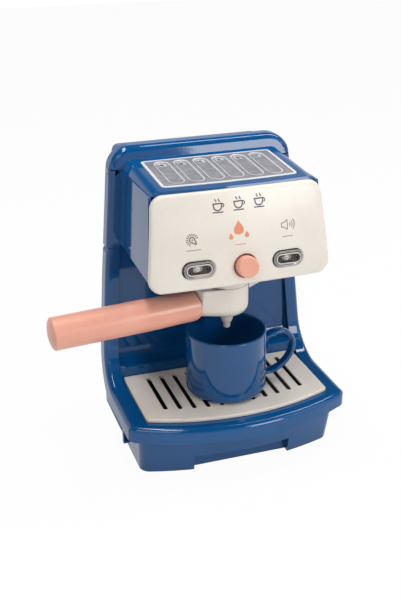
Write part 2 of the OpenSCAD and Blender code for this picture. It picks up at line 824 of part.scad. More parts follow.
module battery_cells() {
    for (row = [-1, 1]) translate([0, battery_y + row * (cell_r + 0.6), cell_z]) rotate([0, 90, 0])
        color(row < 0 ? "#b87333" : black) {
            translate([0, 0, -cell_l / 2]) cylinder(r = cell_r, h = cell_l - 1.5, $fn = part_fn);
            translate([0, 0, cell_l / 2 - 1.5]) cylinder(r = 2.7, h = 1.5, $fn = small_fn);
        }
}

module battery_contacts() {
    color(steel) each_side() {
        translate([cell_l / 2 + 5.2, battery_y - 2 * cell_r, cell_z - 6]) cube([0.6, 4 * cell_r, 12]);
        for (row = [-1, 1]) translate([cell_l / 2 + 0.3, battery_y + row * (cell_r + 0.6), cell_z])
            rotate([0, 90, 0]) cylinder(r1 = 2, r2 = 4.5, h = 4.9, $fn = small_fn);
    }
}

module drip_tray() {
    color(black) difference() {
        plan_view(well_floor + 0.1, grille_under - 2.3) grille_outline(-wall - 0.4);
        plan_view(well_floor + 2, 60) grille_outline(-wall - 2.4);
    }
}

// Loose grille with drain slots between raised edges
module drip_grille() {
    color(cream) difference() {
        union() {
            plan_view(grille_under, grille_plate) grille_outline(0);
            grille_slots(slot_w / 2 + slot_lip_w, grille_under, grille_top);
            plan_view(grille_under - 2, grille_under + 0.5) difference() {
                grille_outline(-wall - 0.5);
                grille_outline(-wall - 2.3);
            }
        }
        grille_slots(slot_w / 2, grille_under - 5, grille_top + 1);
    }
}

module grille_slots(r, z0, z1) {
    for (i = [0 : slot_count - 1]) each_side() {
        x = slot_first + slot_pitch * i;
        front = grille_front + grille_bow_r - sqrt(grille_bow_r * grille_bow_r - x * x) + slot_front;
        back = grille_back - slot_back;
        plan_view(z0, z1) translate([x, (front + back) / 2]) rotate(90)
            stadium(back - front + 2 * (r - slot_w / 2), 2 * r);
    }
}

// Curved control panel with its three button holes
module front_panel() {
    color(cream) difference() {
        union() {
            intersection() {
                on_panel() translate([0, 0, -15]) linear_extrude(22) panel_outline(0);
                on_panel() panel_sheet(0, panel_t);
            }
            intersection() {
                on_panel() for (x = [-1, 1], v = post_v) translate([x * 50, v, board_n + board_t])
                    cylinder(r = 3, h = 14, $fn = small_fn);
                on_panel() panel_sheet(1, 30);
            }
        }
        on_panel(steam_x, steam_v) translate([0, 0, -12])
            cylinder(r = steam_r + steam_gap, h = 30, $fn = part_fn);
        for (side = [-1, 1]) on_panel(side_x(side), side_button_v) translate([0, 0, -12])
            linear_extrude(30) stadium(side_button_w + 2 * button_gap, side_button_h + 2 * button_gap);
    }
}

module panel_outline(inset) {
    tilt = atan((panel_half_low - panel_half_high) / panel_h);
    r = panel_corner_r;
    high = panel_h / 2 - r;
    high_x = panel_side(high) - r / cos(tilt);
    low_x = panel_side(-high) - r / cos(tilt);
    polygon(concat(arc(high_x, high, r - inset, tilt, 90), arc(-high_x, high, r - inset, 90, 180 - tilt),
                   arc(-low_x, -high, r - inset, 180 - tilt, 270), arc(low_x, -high, r - inset, 270, 360 + tilt)));
}

// Double-curved sheet between two depths below the panel's face
module panel_sheet(top, bottom) {
    reach = asin((panel_h / 2 + 6) / bulge_r);
    ring = panel_bow_r - bulge_r;
    translate([0, 0, panel_bulge - panel_bow_r]) rotate([-90, 0, 0]) rotate_extrude($fn = big_fn)
        polygon(concat(arc(ring, 0, bulge_r - top, -reach, reach, 10),
                       arc(ring, 0, bulge_r - bottom, reach, -reach, 10)));
}

// Fixed collar under the head that carries the portafilter, with a lug on each side
module group_collar() {
    color(cream) difference() {
        intersection() {
            union() {
                translate([0, group_y, collar_low]) cylinder(r = cup_r, h = 40, $fn = part_fn);
                intersection() {
                    plan_view(lug_low, collar_low + 40) polygon(soft_rect(-collar_half, collar_half,
                        group_y - lug_depth, group_y + lug_depth, 3));
                    front_view(-60, 40) polygon([[-collar_half, lug_low + 60], [-collar_half, lug_low + lug_rise],
                        [1 - cup_r, lug_low], [cup_r - 1, lug_low], [collar_half, lug_low + lug_rise],
                        [collar_half, lug_low + 60]]);
                }
            }
            side_view(-60, 60) polygon([[-60, collar_low - 1], [-60, head_floor(-60) - 0.1],
                [40, head_floor(40) - 0.1], [40, collar_low - 1]]);
        }
        translate([0, group_y, lug_low + lug_rise]) cylinder(r = cup_r - wall, h = 40, $fn = part_fn);
        translate([manifold_x, manifold_y, collar_low - 1]) cylinder(r = tube_r + 0.4, h = 20, $fn = small_fn);
        pump_room();
    }
}

// Cup with its neck and the tenon that carries the handle
module portafilter_cup() {
    inner_edge = cup_edge_r - cup_wall;
    color(cream) difference() {
        union() {
            translate([0, group_y, 0]) rotate_extrude($fn = part_fn) polygon(concat([[0, cup_bottom]],
                arc(cup_r - cup_edge_r, cup_bottom + cup_edge_r, cup_edge_r, -90, 0), [[cup_r, cup_top], [0, cup_top]]));
            intersection() {
                on_handle() union() {
                    cylinder(r1 = neck_root_r, r2 = neck_r, h = handle_in, $fn = part_fn);
                    cylinder(r = neck_r, h = saddle_r + 4, $fn = part_fn);
                    cylinder(r = tenon_r, h = tenon_end, $fn = part_fn);
                }
                slab(0, cup_top);
            }
        }
        translate([0, group_y, 0]) rotate_extrude($fn = part_fn) polygon(concat([[0, cup_bottom + cup_wall]],
            arc(cup_r - cup_edge_r, cup_bottom + cup_edge_r, inner_edge, -90, 0),
            [[cup_r - cup_wall, cup_top + 1], [0, cup_top + 1]]));
        translate([0, group_y, cup_bottom - 1]) cylinder(r = 2, h = 5, $fn = small_fn);
        on_handle() translate([0, 0, handle_screw_s]) rotate([0, -90, 0])
            cylinder(r = screw_r - 0.1, h = 30, center = true, $fn = small_fn);
    }
}

// Spout that swells from its tip into a bell under the cup
module portafilter_nozzle() {
    bell_x = nozzle_top_r - nozzle_bell_r;
    bell_z = nozzle_tip + 0.57 * nozzle_l;
    color(cream) translate([0, group_y, 0]) rotate_extrude($fn = part_fn) polygon(concat(
        [[1.5, cup_bottom], [1.5, nozzle_tip]], arc(2.5, nozzle_tip + 0.5, 0.5, -90, 0, 3),
        arc(bell_x, bell_z, nozzle_bell_r, -75, 0), [[nozzle_top_r, cup_bottom]]));
}

// Plain round handle with a saddle-cut inner end and a crowned outer end
module portafilter_handle() {
    dome_r = 34;
    edge = 1.5;
    color(pink) difference() {
        on_handle() rotate_extrude($fn = part_fn) polygon(concat([[0, handle_in], [handle_r, handle_in]],
            arc(handle_r - edge, handle_reach - 2.7 - edge, edge, 0, 65, 4),
            [for (i = [3 : -1 : 0]) let (x = (handle_r - edge) * i / 4) [x, handle_reach - dome_r + sqrt(dome_r * dome_r - x * x)]]));
        translate([0, group_y, 0]) cylinder(r = saddle_r, h = 300, $fn = part_fn);
        on_handle() {
            cylinder(r = neck_r + 0.1, h = saddle_r + 4.1, $fn = part_fn);
            cylinder(r = tenon_r + 0.1, h = tenon_end + 0.5, $fn = part_fn);
            translate([0, 0, handle_screw_s]) rotate([0, 90, 0]) {
                cylinder(r = screw_r + 0.2, h = 20, $fn = small_fn);
                translate([0, 0, 9.5]) cylinder(r = 3, h = 20, $fn = small_fn);
            }
        }
    }
}

module handle_screw() {
    color(steel) on_handle() translate([0, 0, handle_screw_s]) rotate([0, 90, 0]) {
        translate([0, 0, -4]) cylinder(r = screw_r - 0.1, h = 14, $fn = small_fn);
        translate([0, 0, 9.5]) cylinder(r = 2.7, h = 2, $fn = small_fn);
    }
}

// Round push button with its retaining flange
module steam_button() {
    top = panel_bulge - 1 + steam_out;
    color(pink) on_panel(steam_x, steam_v) rotate_extrude($fn = part_fn) polygon(concat(
        [[0, steam_base], [steam_r + 2.6, steam_base], [steam_r + 2.6, steam_base + 2.6], [steam_r, steam_base + 2.6]],
        arc(steam_r - 1.6, top - 2, 1.6, 0, 80, 5), [[steam_r * 0.4, top - 0.05], [0, top]]));
}

module pump_piston() {
    piston_top = pump_start - 7;
    color(steel) on_panel(steam_x, steam_v) {
        translate([0, 0, piston_top]) cylinder(r = 2, h = steam_base - piston_top, $fn = small_fn);
        translate([0, 0, piston_top - 3]) cylinder(r = pump_bore_r - piston_gap, h = 3, $fn = part_fn);
    }
}

module pump_cylinder() {
    color(cream) difference() {
        union() {
            on_panel(steam_x, steam_v) translate([0, 0, pump_end])
                cylinder(r = pump_bore_r + pump_wall, h = pump_start - pump_end, $fn = part_fn);
            translate([manifold_x - manifold[0] / 2, manifold_y - manifold[1] / 2, manifold_z]) cube(manifold);
        }
        on_panel(steam_x, steam_v) translate([0, 0, pump_end + 1.5])
            cylinder(r = pump_bore_r, h = 30, $fn = part_fn);
        translate([manifold_x, manifold_y, manifold_z - 3]) cylinder(r = 1.2, h = 20, $fn = small_fn);
    }
}

module steam_spring() {
    color(steel) on_panel(steam_x, steam_v) translate([0, 0, pump_start + 0.2])
        coil(4.3, 0.5, steam_base - pump_start - 0.4, 3);
}

module intake_tube() {
    low = manifold_z + manifold[2] + 0.1;
    high = head_top + manifold_y * sin(top_tilt) + tank_low * cos(top_tilt) - 0.2;
    color(smoke) translate([manifold_x, manifold_y, low]) tube(tube_r, 1.4, high - low);
}

module outlet_tube() {
    low = collar_low + 2;
    color(smoke) translate([manifold_x, manifold_y, low]) tube(tube_r, 1.4, manifold_z - 0.1 - low);
}

// Clear cap over a lamp, with a flange behind the panel and two legs over the switches
module side_button(side) {
    color(smoke) on_panel(side_x(side), side_button_v) {
        difference() {
            union() {
                button_layer(flange_low + 1, side_button_top - 0.8, 0);
                button_layer(flange_low + 1, side_button_top, -1);
                button_layer(flange_low, flange_low + flange_t, 1.5);
            }
            button_layer(flange_low - 1, side_button_top - 1.8, -2);
        }
        for (x = [-leg_x, leg_x]) translate([x, 0, 0]) {
            translate([0, 0, leg_low]) cylinder(r = leg_r, h = side_button_top - 1.5 - leg_low, $fn = small_fn);
            translate([0, 0, flange_low]) cylinder(r = leg_r + 1.4, h = flange_t, $fn = small_fn);
        }
    }
}

module button_layer(n0, n1, grow) {
    translate([0, 0, n0]) linear_extrude(n1 - n0)
        stadium(side_button_w + 2 * grow, side_button_h + 2 * grow);
}

module light_button() {
    side_button(-1);
}

module sound_button() {
    side_button(1);
}

module side_spring(side) {
    color(steel) on_panel(side_x(side), side_button_v) for (x = [-leg_x, leg_x])
        translate([x, 0, switch_top + 0.2]) coil(leg_r + 0.7, 0.3, flange_low - switch_top - 0.4, 4);
}

module light_spring() {
    side_spring(-1);
}

module sound_spring() {
    side_spring(1);
}

// Printed circuit board behind the panel
module circuit_board() {
    color("darkgreen") on_panel() difference() {
        translate([-board_half, board_low, board_n]) cube([2 * board_half, board_high - board_low, board_t]);
        translate([steam_x, steam_v, board_n - 1]) cylinder(r = 7, h = 4, $fn = small_fn);
        for (x = [-1, 1], v = post_v) translate([x * 50, v, board_n - 1]) cylinder(r = 1.4, h = 4, $fn = small_fn);
    }
}

module touch_switches() {
    color(black) for (side = [-1, 1]) on_panel(side_x(side), side_button_v) for (x = [-leg_x, leg_x])
        translate([x - switch_w / 2, -switch_w / 2, board_n + board_t]) cube([switch_w, switch_w, switch_h]);
}

module button_leds() {
    color("white") for (side = [-1, 1]) on_panel(side_x(side), side_button_v)
        translate([0, 0, board_n + board_t]) rotate_extrude($fn = small_fn) polygon(concat(
            [[0, 0], [2.9, 0], [2.9, 1], [2.5, 1]], arc(0, 11, 2.5, 0, 90, 5)));
}

module speaker() {
    color(black) translate([0, rear_y - wall - 0.1, speaker_z]) rotate([90, 0, 0])
        rotate_extrude($fn = part_fn) polygon([[0, 3], [speaker_r - 3, 0.8], [speaker_r - 2, 0], [speaker_r, 0],
            [speaker_r, 1.5], [8, 6], [8, 10], [0, 10]]);
}

// Water tank hanging under the opening in the top cover
module water_tank() {
    color(smoke) on_top() difference() {
        union() {
            plan_view(tank_low, lid_z - lid_t - 2.6) tank_outline(0);
            plan_view(lid_z - lid_t - 4, lid_z - lid_t - 2.4) tank_outline(3.5);
        }
        plan_view(tank_low + tank_wall, 5) tank_outline(-tank_wall);
    }
}

module tank_outline(grow) {
    polygon(soft_rect(ledge_w - lid_half - grow, lid_half - ledge_w + grow, lid_front + ledge_w + 2 - grow,
                      lid_back - ledge_w - 4 + grow, 6 + grow));
}

// Loose lid with long channels that drain through a hole at their rear end
module tank_lid() {
    pitch = (2 * lid_half - 14) / lid_channels;
    channel = pitch - 5;
    length = lid_back - lid_front - 12;
    mid = (lid_back + lid_front) / 2;
    color(smoke) on_top() difference() {
        plan_view(lid_z - lid_t, lid_z) lid_outline(0);
        for (i = [0 : lid_channels - 1]) translate([(i - (lid_channels - 1) / 2) * pitch, mid, 0]) {
            plan_view(lid_z - 0.9, 5) rotate(90) stadium(length, channel);
            translate([0, length / 2 - channel / 2, 0]) plan_view(-10, 5) rotate(90) stadium(5, 3);
        }
    }
}

// Screws from below into the lower body and the rear cover, and from behind into the housing
module case_screws() {
    color(steel) each_side() {
        for (p = [front_screw, rear_screw]) translate([p[0], p[1], 0.2]) {
            cylinder(r = screw_r - 0.25, h = 14, $fn = small_fn);
            cylinder(r = 2.8, h = 0.9, $fn = small_fn);
        }
        translate([top_screw[0], column_back + 7.2, top_screw[1]]) rotate([90, 0, 0]) {
            cylinder(r = screw_r - 0.25, h = 16, $fn = small_fn);
            translate([0, 0, -2]) cylinder(r = 2.8, h = 2, $fn = small_fn);
        }
    }
}

// Oval whose long axis is turned by the given angle
function oval(long, short, turn, n = 72) =
    [for (i = [0 : n - 1]) let (u = long * cos(360 * i / n), v = short * sin(360 * i / n))
        [u * cos(turn) - v * sin(turn), u * sin(turn) + v * cos(turn)]];

// Mug with an oval handle that leans up and out
module mug() {
    foot_r = 5.5;
    high = mug_foot + mug_h;
    long = mug_ring_long * mug_h;
    short = mug_ring_short * mug_h;
    color(blue) translate([mug_x, mug_y, 0]) difference() {
        union() {
            rotate_extrude($fn = part_fn) polygon(concat([[0, mug_foot]],
                arc(mug_r - foot_r, mug_foot + foot_r, foot_r, -90, 0),
                arc(mug_r - mug_wall / 2, high - mug_wall / 2, mug_wall / 2, 0, 90), [[0, high]]));
            translate([mug_r + mug_ring_x, 0, mug_foot + 0.48 * mug_h])
                front_view(-mug_handle_w / 2, mug_handle_w / 2) difference() {
                    polygon(oval(long, short, 45));
                    polygon(oval(long - mug_handle_t, short - mug_handle_t, 45));
                }
        }
        rotate_extrude($fn = part_fn) polygon(concat([[0, mug_foot + mug_wall]],
            arc(mug_r - foot_r, mug_foot + foot_r, foot_r - mug_wall, -90, 0),
            [[mug_r - mug_wall, high + 1], [0, high + 1]]));
    }
}

lower_body();
upper_housing();
top_cover();
rear_cover();
base_plate();
battery_door();
battery_door_screw();
battery_cells();
battery_contacts();
drip_tray();
drip_grille();
front_panel();
group_collar();
portafilter_cup();
portafilter_nozzle();
portafilter_handle();
handle_screw();
steam_button();
pump_piston();
pump_cylinder();
steam_spring();
intake_tube();
outlet_tube();
light_button();
sound_button();
light_spring();
sound_spring();
circuit_board();
touch_switches();
button_leds();
speaker();
water_tank();
tank_lid();
case_screws();
mug();
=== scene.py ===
import math

import bmesh
import bpy
import numpy as np
from mathutils import Matrix, Vector
from mathutils.geometry import delaunay_2d_cdt


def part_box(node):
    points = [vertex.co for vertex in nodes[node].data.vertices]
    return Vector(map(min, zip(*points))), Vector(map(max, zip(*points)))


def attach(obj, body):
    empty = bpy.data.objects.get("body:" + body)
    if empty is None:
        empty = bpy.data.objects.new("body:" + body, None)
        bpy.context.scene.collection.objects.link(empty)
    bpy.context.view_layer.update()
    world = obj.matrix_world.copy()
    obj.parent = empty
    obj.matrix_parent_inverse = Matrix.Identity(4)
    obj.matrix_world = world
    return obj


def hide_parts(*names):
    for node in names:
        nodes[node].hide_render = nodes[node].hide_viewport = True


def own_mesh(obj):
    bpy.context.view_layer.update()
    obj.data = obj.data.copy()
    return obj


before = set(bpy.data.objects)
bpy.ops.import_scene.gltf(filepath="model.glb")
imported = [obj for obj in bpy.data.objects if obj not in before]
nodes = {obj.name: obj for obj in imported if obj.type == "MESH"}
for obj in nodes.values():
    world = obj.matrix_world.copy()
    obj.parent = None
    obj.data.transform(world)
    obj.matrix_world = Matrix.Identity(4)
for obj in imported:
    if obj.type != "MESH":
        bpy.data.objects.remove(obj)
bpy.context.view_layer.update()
mm = 0.001
print("frame loaded:", len(nodes), "nodes")


class Field:
    # a socket that adds Math nodes when it is used in an expression
    def __init__(self, finish, socket):
        self.finish = finish
        self.socket = socket

    def join(self, operation, first, second):
        made = self.finish.node("ShaderNodeMath", {"operation": operation}, {0: first, 1: second})
        return Field(self.finish, made.outputs[0])

    def __add__(self, other):
        return self.join("ADD", self, other)

    def __radd__(self, other):
        return self.join("ADD", other, self)

    def __sub__(self, other):
        return self.join("SUBTRACT", self, other)

    def __rsub__(self, other):
        return self.join("SUBTRACT", other, self)

    def __mul__(self, other):
        return self.join("MULTIPLY", self, other)

    def __rmul__(self, other):
        return self.join("MULTIPLY", other, self)


class Finish:
    # a material, or the world, with its shader and short ways to add nodes
    def __init__(self, name, kind="materials"):
        solid = kind == "materials"
        self.material = getattr(bpy.data, kind).new(name)
        self.material.use_nodes = True
        self.tree = self.material.node_tree
        self.shader = self.tree.nodes["Principled BSDF" if solid else "Background"]
        self.place = self.node("ShaderNodeTexCoord", {}, {}).outputs["Object" if solid else "Generated"]

    def node(self, kind, settings, inputs):
        made = self.tree.nodes.new(kind)
        for key, value in settings.items():
            setattr(made, key, value)
        for key, value in inputs.items():
            self.feed(made.inputs[key], value)
        return made

    def feed(self, socket, value):
        if isinstance(value, Field):
            value = value.socket
        if isinstance(value, bpy.types.NodeSocket):
            self.tree.links.new(value, socket)
        else:
            socket.default_value = value

    def noise(self, size, detail=3.0, rough=0.5, stretch=(1, 1, 1)):  # size of a blotch in metres
        spot = self.node("ShaderNodeMapping", {}, {"Vector": self.place, "Scale": stretch})
        made = self.node("ShaderNodeTexNoise", {}, {"Vector": spot.outputs[0], "Scale": 1 / size,
                                                    "Detail": detail, "Roughness": rough})
        return Field(self, made.outputs["Fac"])

    def ramp(self, value, low, high):  # 0 below low, 1 above high
        made = self.node("ShaderNodeMapRange", {"interpolation_type": "SMOOTHSTEP"},
                         {"Value": value, "From Min": low, "From Max": high})
        return Field(self, made.outputs[0])

    def blend(self, amount, first, second):
        made = self.node("ShaderNodeMix", {"data_type": "RGBA"}, {0: amount, 6: first, 7: second})
        return made.outputs[2]

    def bump(self, height, distance):
        made = self.node("ShaderNodeBump", {}, {"Height": height, "Distance": distance})
        self.feed(self.shader.inputs["Normal"], made.outputs[0])

    def seenBy(self, *rays):  # 1 for the kinds of ray that are named
        path = self.node("ShaderNodeLightPath", {}, {})
        seen = Field(self, path.outputs[rays[0]])
        for ray in rays[1:]:
            seen = seen.join("MAXIMUM", seen, Field(self, path.outputs[ray]))
        return seen

    def attribute(self, name):
        made = self.node("ShaderNodeAttribute", {"attribute_name": name}, {})
        return Field(self, made.outputs["Fac"])

    def set(self, **values):
        for key, value in values.items():
            self.feed(self.shader.inputs[key.replace("_", " ")], value)


def colour(red, green, blue):  # screen colour, 0 to 255, to linear light
    share = np.array([red, green, blue]) / 255
    linear = np.where(share <= 0.04045, share / 12.92, ((share + 0.055) / 1.055) ** 2.4)
    return (*linear.tolist(), 1.0)


def plastic(name, base, low, high, rough, coat=0.0, grain=0.00006, grainSize=0.0022, dust=0.06):
    finish = Finish(name)
    broad = finish.noise(0.03)
    fine = finish.noise(0.0016, 2)
    scuff = finish.ramp(finish.noise(0.007, 6, 0.65, (1, 1, 0.25)), 0.56, 0.75)
    tone = finish.blend(finish.ramp(broad * 0.7 + fine * 0.3, 0.35, 0.65), colour(*low), colour(*high))
    worn = colour(*[min(255, part + 40) for part in base])
    finish.set(Base_Color=finish.blend(scuff * dust, tone, worn),
               Roughness=rough + broad * 0.05 + scuff * 0.05, IOR=1.5, Coat_Weight=coat, Coat_Roughness=0.05)
    finish.bump(finish.noise(grainSize, 2) * 0.8 + finish.noise(0.012, 1) * 1.5, grain)
    return finish.material


def metal(name, low, high, rough, grainSize=0.0004):
    finish = Finish(name)
    lines = finish.noise(grainSize, 3, 0.6, (1, 1, 0.2))
    blotch = finish.ramp(finish.noise(0.004, 4), 0.35, 0.7)
    finish.set(Base_Color=finish.blend(blotch, colour(*low), colour(*high)), Metallic=1.0,
               Roughness=rough + lines * 0.12 + blotch * 0.06)
    finish.bump(lines, 0.00002)
    return finish.material


def boardGreen():  # copper tracks under green lacquer
    finish = Finish("boardGreen")
    brick = finish.node("ShaderNodeTexBrick", {}, {"Vector": finish.place, "Scale": 260.0,
                                                   "Mortar Size": 0.03})
    track = Field(finish, brick.outputs["Fac"])
    finish.set(Base_Color=finish.blend(track, colour(24, 84, 50), colour(58, 128, 78)),
               Roughness=0.42 - track * 0.1)
    finish.bump(track, 0.00003)
    return finish.material


def clearPlastic(name, low, high, edge, rough, solid, edgeHighlightSolid):
    # the rim attribute paints a highlight on the edges: where it is set, the colour blends to edge and the
    # plastic turns more solid than the clear faces between them
    finish = Finish(name)
    cloud = finish.noise(0.006, 3)
    rim = finish.attribute("rim")
    tone = finish.blend(finish.ramp(cloud, 0.3, 0.7), colour(*low), colour(*high))
    finish.set(Base_Color=finish.blend(rim * 0.9, tone, colour(*edge)), Roughness=rough + cloud * 0.06,
               Alpha=solid + rim * (edgeHighlightSolid - solid), IOR=1.46)
    finish.bump(finish.noise(0.003, 2), 0.00003)
    return finish.material


def ink(name, base):
    finish = Finish(name)
    wear = finish.ramp(finish.noise(0.0006, 4, 0.7), 0.62, 0.8)
    finish.set(Base_Color=finish.blend(wear * 0.35, colour(*base), colour(216, 208, 198)),
               Roughness=0.5 + wear * 0.1)
    finish.bump(wear, 0.00001)
    return finish.material


# screen colours: of plastics the one that scuffs lighten, and of all the two that the surface drifts between;
# then roughness, coat and the depth of the grain in metres
bluePlastic = plastic("bluePlastic", (9, 78, 133), (5, 74, 128), (9, 79, 135), 0.03, 0, 0.00002, dust=0.02)
mugBlue = plastic("mugBlue", (8, 72, 126), (4, 69, 121), (9, 74, 129), 0.06, 0.15, 0.00002, dust=0.02)
creamPlastic = plastic("creamPlastic", (226, 219, 209), (224, 216, 205), (229, 222, 212), 0.3, 0.1,
                       dust=0.03)
grilleCream = plastic("grilleCream", (222, 213, 202), (218, 209, 197), (224, 216, 205), 0.42, 0.05,
                      dust=0.05)
pinkPlastic = plastic("pinkPlastic", (229, 163, 141), (226, 159, 136), (231, 165, 144), 0.3, 0.15,
                      dust=0.03)
blackPlastic = plastic("blackPlastic", (22, 23, 25), (18, 19, 21), (27, 28, 30), 0.5, 0, 0.00014, 0.0009)
wellBrown = plastic("wellBrown", (44, 22, 16), (34, 16, 11), (54, 29, 21), 0.25)
lampWhite = plastic("lampWhite", (228, 228, 226), (220, 221, 220), (236, 236, 233), 0.22, 0.3)
lensGrey = plastic("lensGrey", (150, 142, 138), (122, 114, 110), (178, 171, 167), 0.12, 0.3)
# clear plastics: two body colours, the colour of the painted edge highlight, roughness, how solid the faces
# are and how solid the highlighted edges are
lidClear = clearPlastic("lidClear", (132, 132, 138), (148, 148, 154), (232, 232, 236), 0.14, 0.86, 0.97)
capClear = clearPlastic("capClear", (206, 200, 196), (220, 215, 210), (226, 222, 217), 0.06, 0.015, 0.86)
steel = metal("steel", (168, 170, 173), (196, 198, 201), 0.28)
springSteel = metal("springSteel", (150, 152, 156), (188, 190, 194), 0.2, 0.0002)
copperJacket = metal("copperJacket", (150, 92, 52), (178, 112, 66), 0.3)
greenBoard = boardGreen()
inkGrey = ink("inkGrey", (78, 80, 84))
inkLabel = ink("inkLabel", (150, 148, 146))
inkPink = ink("inkPink", (226, 138, 104))
print("finishes made")


def addPiece(name, points, faces, finish, body, stands=(), sharp=38, rim=None, turn=True):
    mesh = bpy.data.meshes.new(name)
    mesh.from_pydata(np.asarray(points, float) * mm, [], faces)
    # rim gives each point the strength of the painted edge highlight that clear finishes read
    if rim is not None:
        mesh.attributes.new("rim", "FLOAT", "POINT").data.foreach_set("value", np.asarray(rim, np.float32))
    work = bmesh.new()
    work.from_mesh(mesh)
    bmesh.ops.remove_doubles(work, verts=work.verts, dist=2e-6)
    if turn:
        bmesh.ops.recalc_face_normals(work, faces=work.faces)
    for edge in work.edges:
        edge.smooth = not (len(edge.link_faces) == 2 and edge.calc_face_angle(0) > math.radians(sharp))
    for face in work.faces:
        face.smooth = True
    work.to_mesh(mesh)
    work.free()
    piece = bpy.data.objects.new(name, mesh)
    bpy.context.scene.collection.objects.link(piece)
    mesh.materials.append(finish)
    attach(piece, body)
    if stands:
        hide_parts(*stands)


def ringFaces(rows, count, loop=False):  # quads between rows of closed rings
    row = np.arange(rows if loop else rows - 1)[:, None]
    col = np.arange(count)[None, :]
    after = (col + 1) % count
    below = (row + 1) % rows
    corners = [row * count + col, row * count + after, below * count + after, below * count + col]
    return np.stack(corners, -1).reshape(-1, 4).tolist()


def tube(rings, capLow=True, capHigh=True):  # rings is rows x count x 3
    rows, count, _ = rings.shape
    faces = ringFaces(rows, count)
    if capLow:
        faces.append(np.arange(count)[::-1].tolist())
    if capHigh:
        faces.append((np.arange(count) + (rows - 1) * count).tolist())
    return rings.reshape(-1, 3), faces


def arc(x, y, radius, first, last, count=8):  # points on an arc, angles in degrees
    turn = np.radians(np.linspace(first, last, count + 1))
    return np.stack([x + radius * np.cos(turn), y + radius * np.sin(turn)], -1)


def spin(profile, count=128):  # profile of (radius, height), turned about Z; ends on the axis are closed
    profile = np.asarray(profile, float)
    turn = np.linspace(0, 2 * np.pi, count, endpoint=False)
    rings = np.stack([profile[:, None, 0] * np.cos(turn), profile[:, None, 0] * np.sin(turn),
                      np.broadcast_to(profile[:, None, 1], (len(profile), count))], -1)
    return tube(rings, capLow=False, capHigh=False)


def join(*parts):  # one list of points and faces from several
    points, faces, start = [], [], 0
    for partPoints, partFaces in parts:
        points.append(partPoints)
        faces += [[corner + start for corner in face] for face in partFaces]
        start += len(partPoints)
    return np.concatenate(points), faces


def stadium(length, width, grow=0.0, count=48):  # long axis on X
    radius = width / 2 + grow
    half = (length - width) / 2
    right = arc(half, 0, radius, -90, 90, count // 2)
    left = arc(-half, 0, radius, 90, 270, count // 2)
    return np.concatenate([right, left])


def plate(outer, holes, place, spacing, bottom=True):
    # a plate with rounded edges: each border is a loop carried along its own profile of (grow, depth), from
    # the face over the edge to the back, and triangles on a fine grid fill the faces between the borders
    parts = []
    edgeHighlights = []
    borders = [outer] + holes
    for loop, profile in borders:
        rings = np.stack([place(loop(grow), depth) for grow, depth in profile])
        parts.append(tube(rings, capLow=False, capHigh=False))
        # each border gets a painted highlight, strongest over the middle of its rounded profile; the filled
        # faces get none
        edgeHighlights.append(np.repeat(np.sin(np.linspace(0, np.pi, len(profile))) ** 0.5, rings.shape[1]))
    for end in [0, -1] if bottom else [0]:
        loops = [loop(profile[end][0]) for loop, profile in borders]
        depth = outer[1][end][1]
        points, faces = fill(loops, spacing)
        parts.append((place(points, depth), faces))
        edgeHighlights.append(np.zeros(len(points)))
    points, faces = join(*parts)
    return points, faces, np.concatenate(edgeHighlights)


def inside(points, loop):  # which points lie in the loop, by counting crossings
    x, y = points[:, None, 0], points[:, None, 1]
    x0, y0 = loop[None, :, 0], loop[None, :, 1]
    x1, y1 = np.roll(loop[:, 0], -1)[None], np.roll(loop[:, 1], -1)[None]
    crosses = (y0 > y) != (y1 > y)
    with np.errstate(divide="ignore", invalid="ignore"):
        where = x0 + (y - y0) * (x1 - x0) / (y1 - y0)
    return (crosses & (x < where)).sum(1) % 2 == 1


def fill(loops, spacing):  # triangles between an outer loop and holes, with a grid of points inside
    low, high = loops[0].min(0), loops[0].max(0)
    grid = np.stack(np.meshgrid(np.arange(low[0], high[0], spacing) + spacing / 2,
                                np.arange(low[1], high[1], spacing) + spacing / 2), -1).reshape(-1, 2)
    keep = inside(grid, loops[0])
    for loop in loops[1:]:
        keep &= ~inside(grid, loop)
    border = np.concatenate(loops)
    nearest = np.array([np.hypot(*(border - point).T).min() for point in grid])
    grid = grid[keep & (nearest > spacing * 0.4)]
    points = np.concatenate([border, grid])
    edges, start = [], 0
    for loop in loops:
        edges += [(start + i, start + (i + 1) % len(loop)) for i in range(len(loop))]
        start += len(loop)
    found, _, faces, *_ = delaunay_2d_cdt([Vector(point) for point in points], edges, [], 1, 1e-5)
    found = np.array([tuple(point) for point in found])
    faces = np.array([face for face in faces if len(face) == 3])
    middle = found[faces].mean(1)
    keep = inside(middle, loops[0])
    for loop in loops[1:]:
        keep &= ~inside(middle, loop)
    return found, faces[keep].tolist()


def edgeProfile(radius, depth, count=5):  # over a rounded edge and down: grow is outwards
    top = arc(-radius, -radius, radius, 90, 0, count)
    return [(x, -y) for x, y in top] + [(0, depth - 0.4), (-0.4, depth)]


def bowedPlan(half, front, bow, corner, back, backCorner):
    # the outline of the CAD's bowed plans: a bowed front, round corners, straight sides and back
    count = 10
    turn = math.degrees(math.asin((half - corner) / (bow - corner)))
    cornerY = front + bow - (bow - corner) * math.cos(math.radians(turn))
    return np.concatenate([arc(0, front + bow, bow, -90 - turn, -90 + turn, 40),
                           arc(half - corner, cornerY, corner, -90 + turn, 0, count),
                           arc(half - backCorner, back - backCorner, backCorner, 0, 90, count),
                           arc(backCorner - half, back - backCorner, backCorner, 90, 180, count),
                           arc(corner - half, cornerY, corner, 180, 270 - turn, count)])


# main sizes in millimetres, the same as in the CAD
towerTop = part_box("top_cover")[1].z / mm
headTop = towerTop - 13
headBottom = headTop - 71.5
topTilt = 2.86  # degrees by which the head's top rises towards the back
groupY = -16
panelPlace = {"y": -48.85, "z": towerTop - 53.45, "lean": 10, "height": 76.8, "low": 77.1, "high": 69.8,
              "corner": 11, "bulge": 2, "bow": 685, "thick": 4.5}


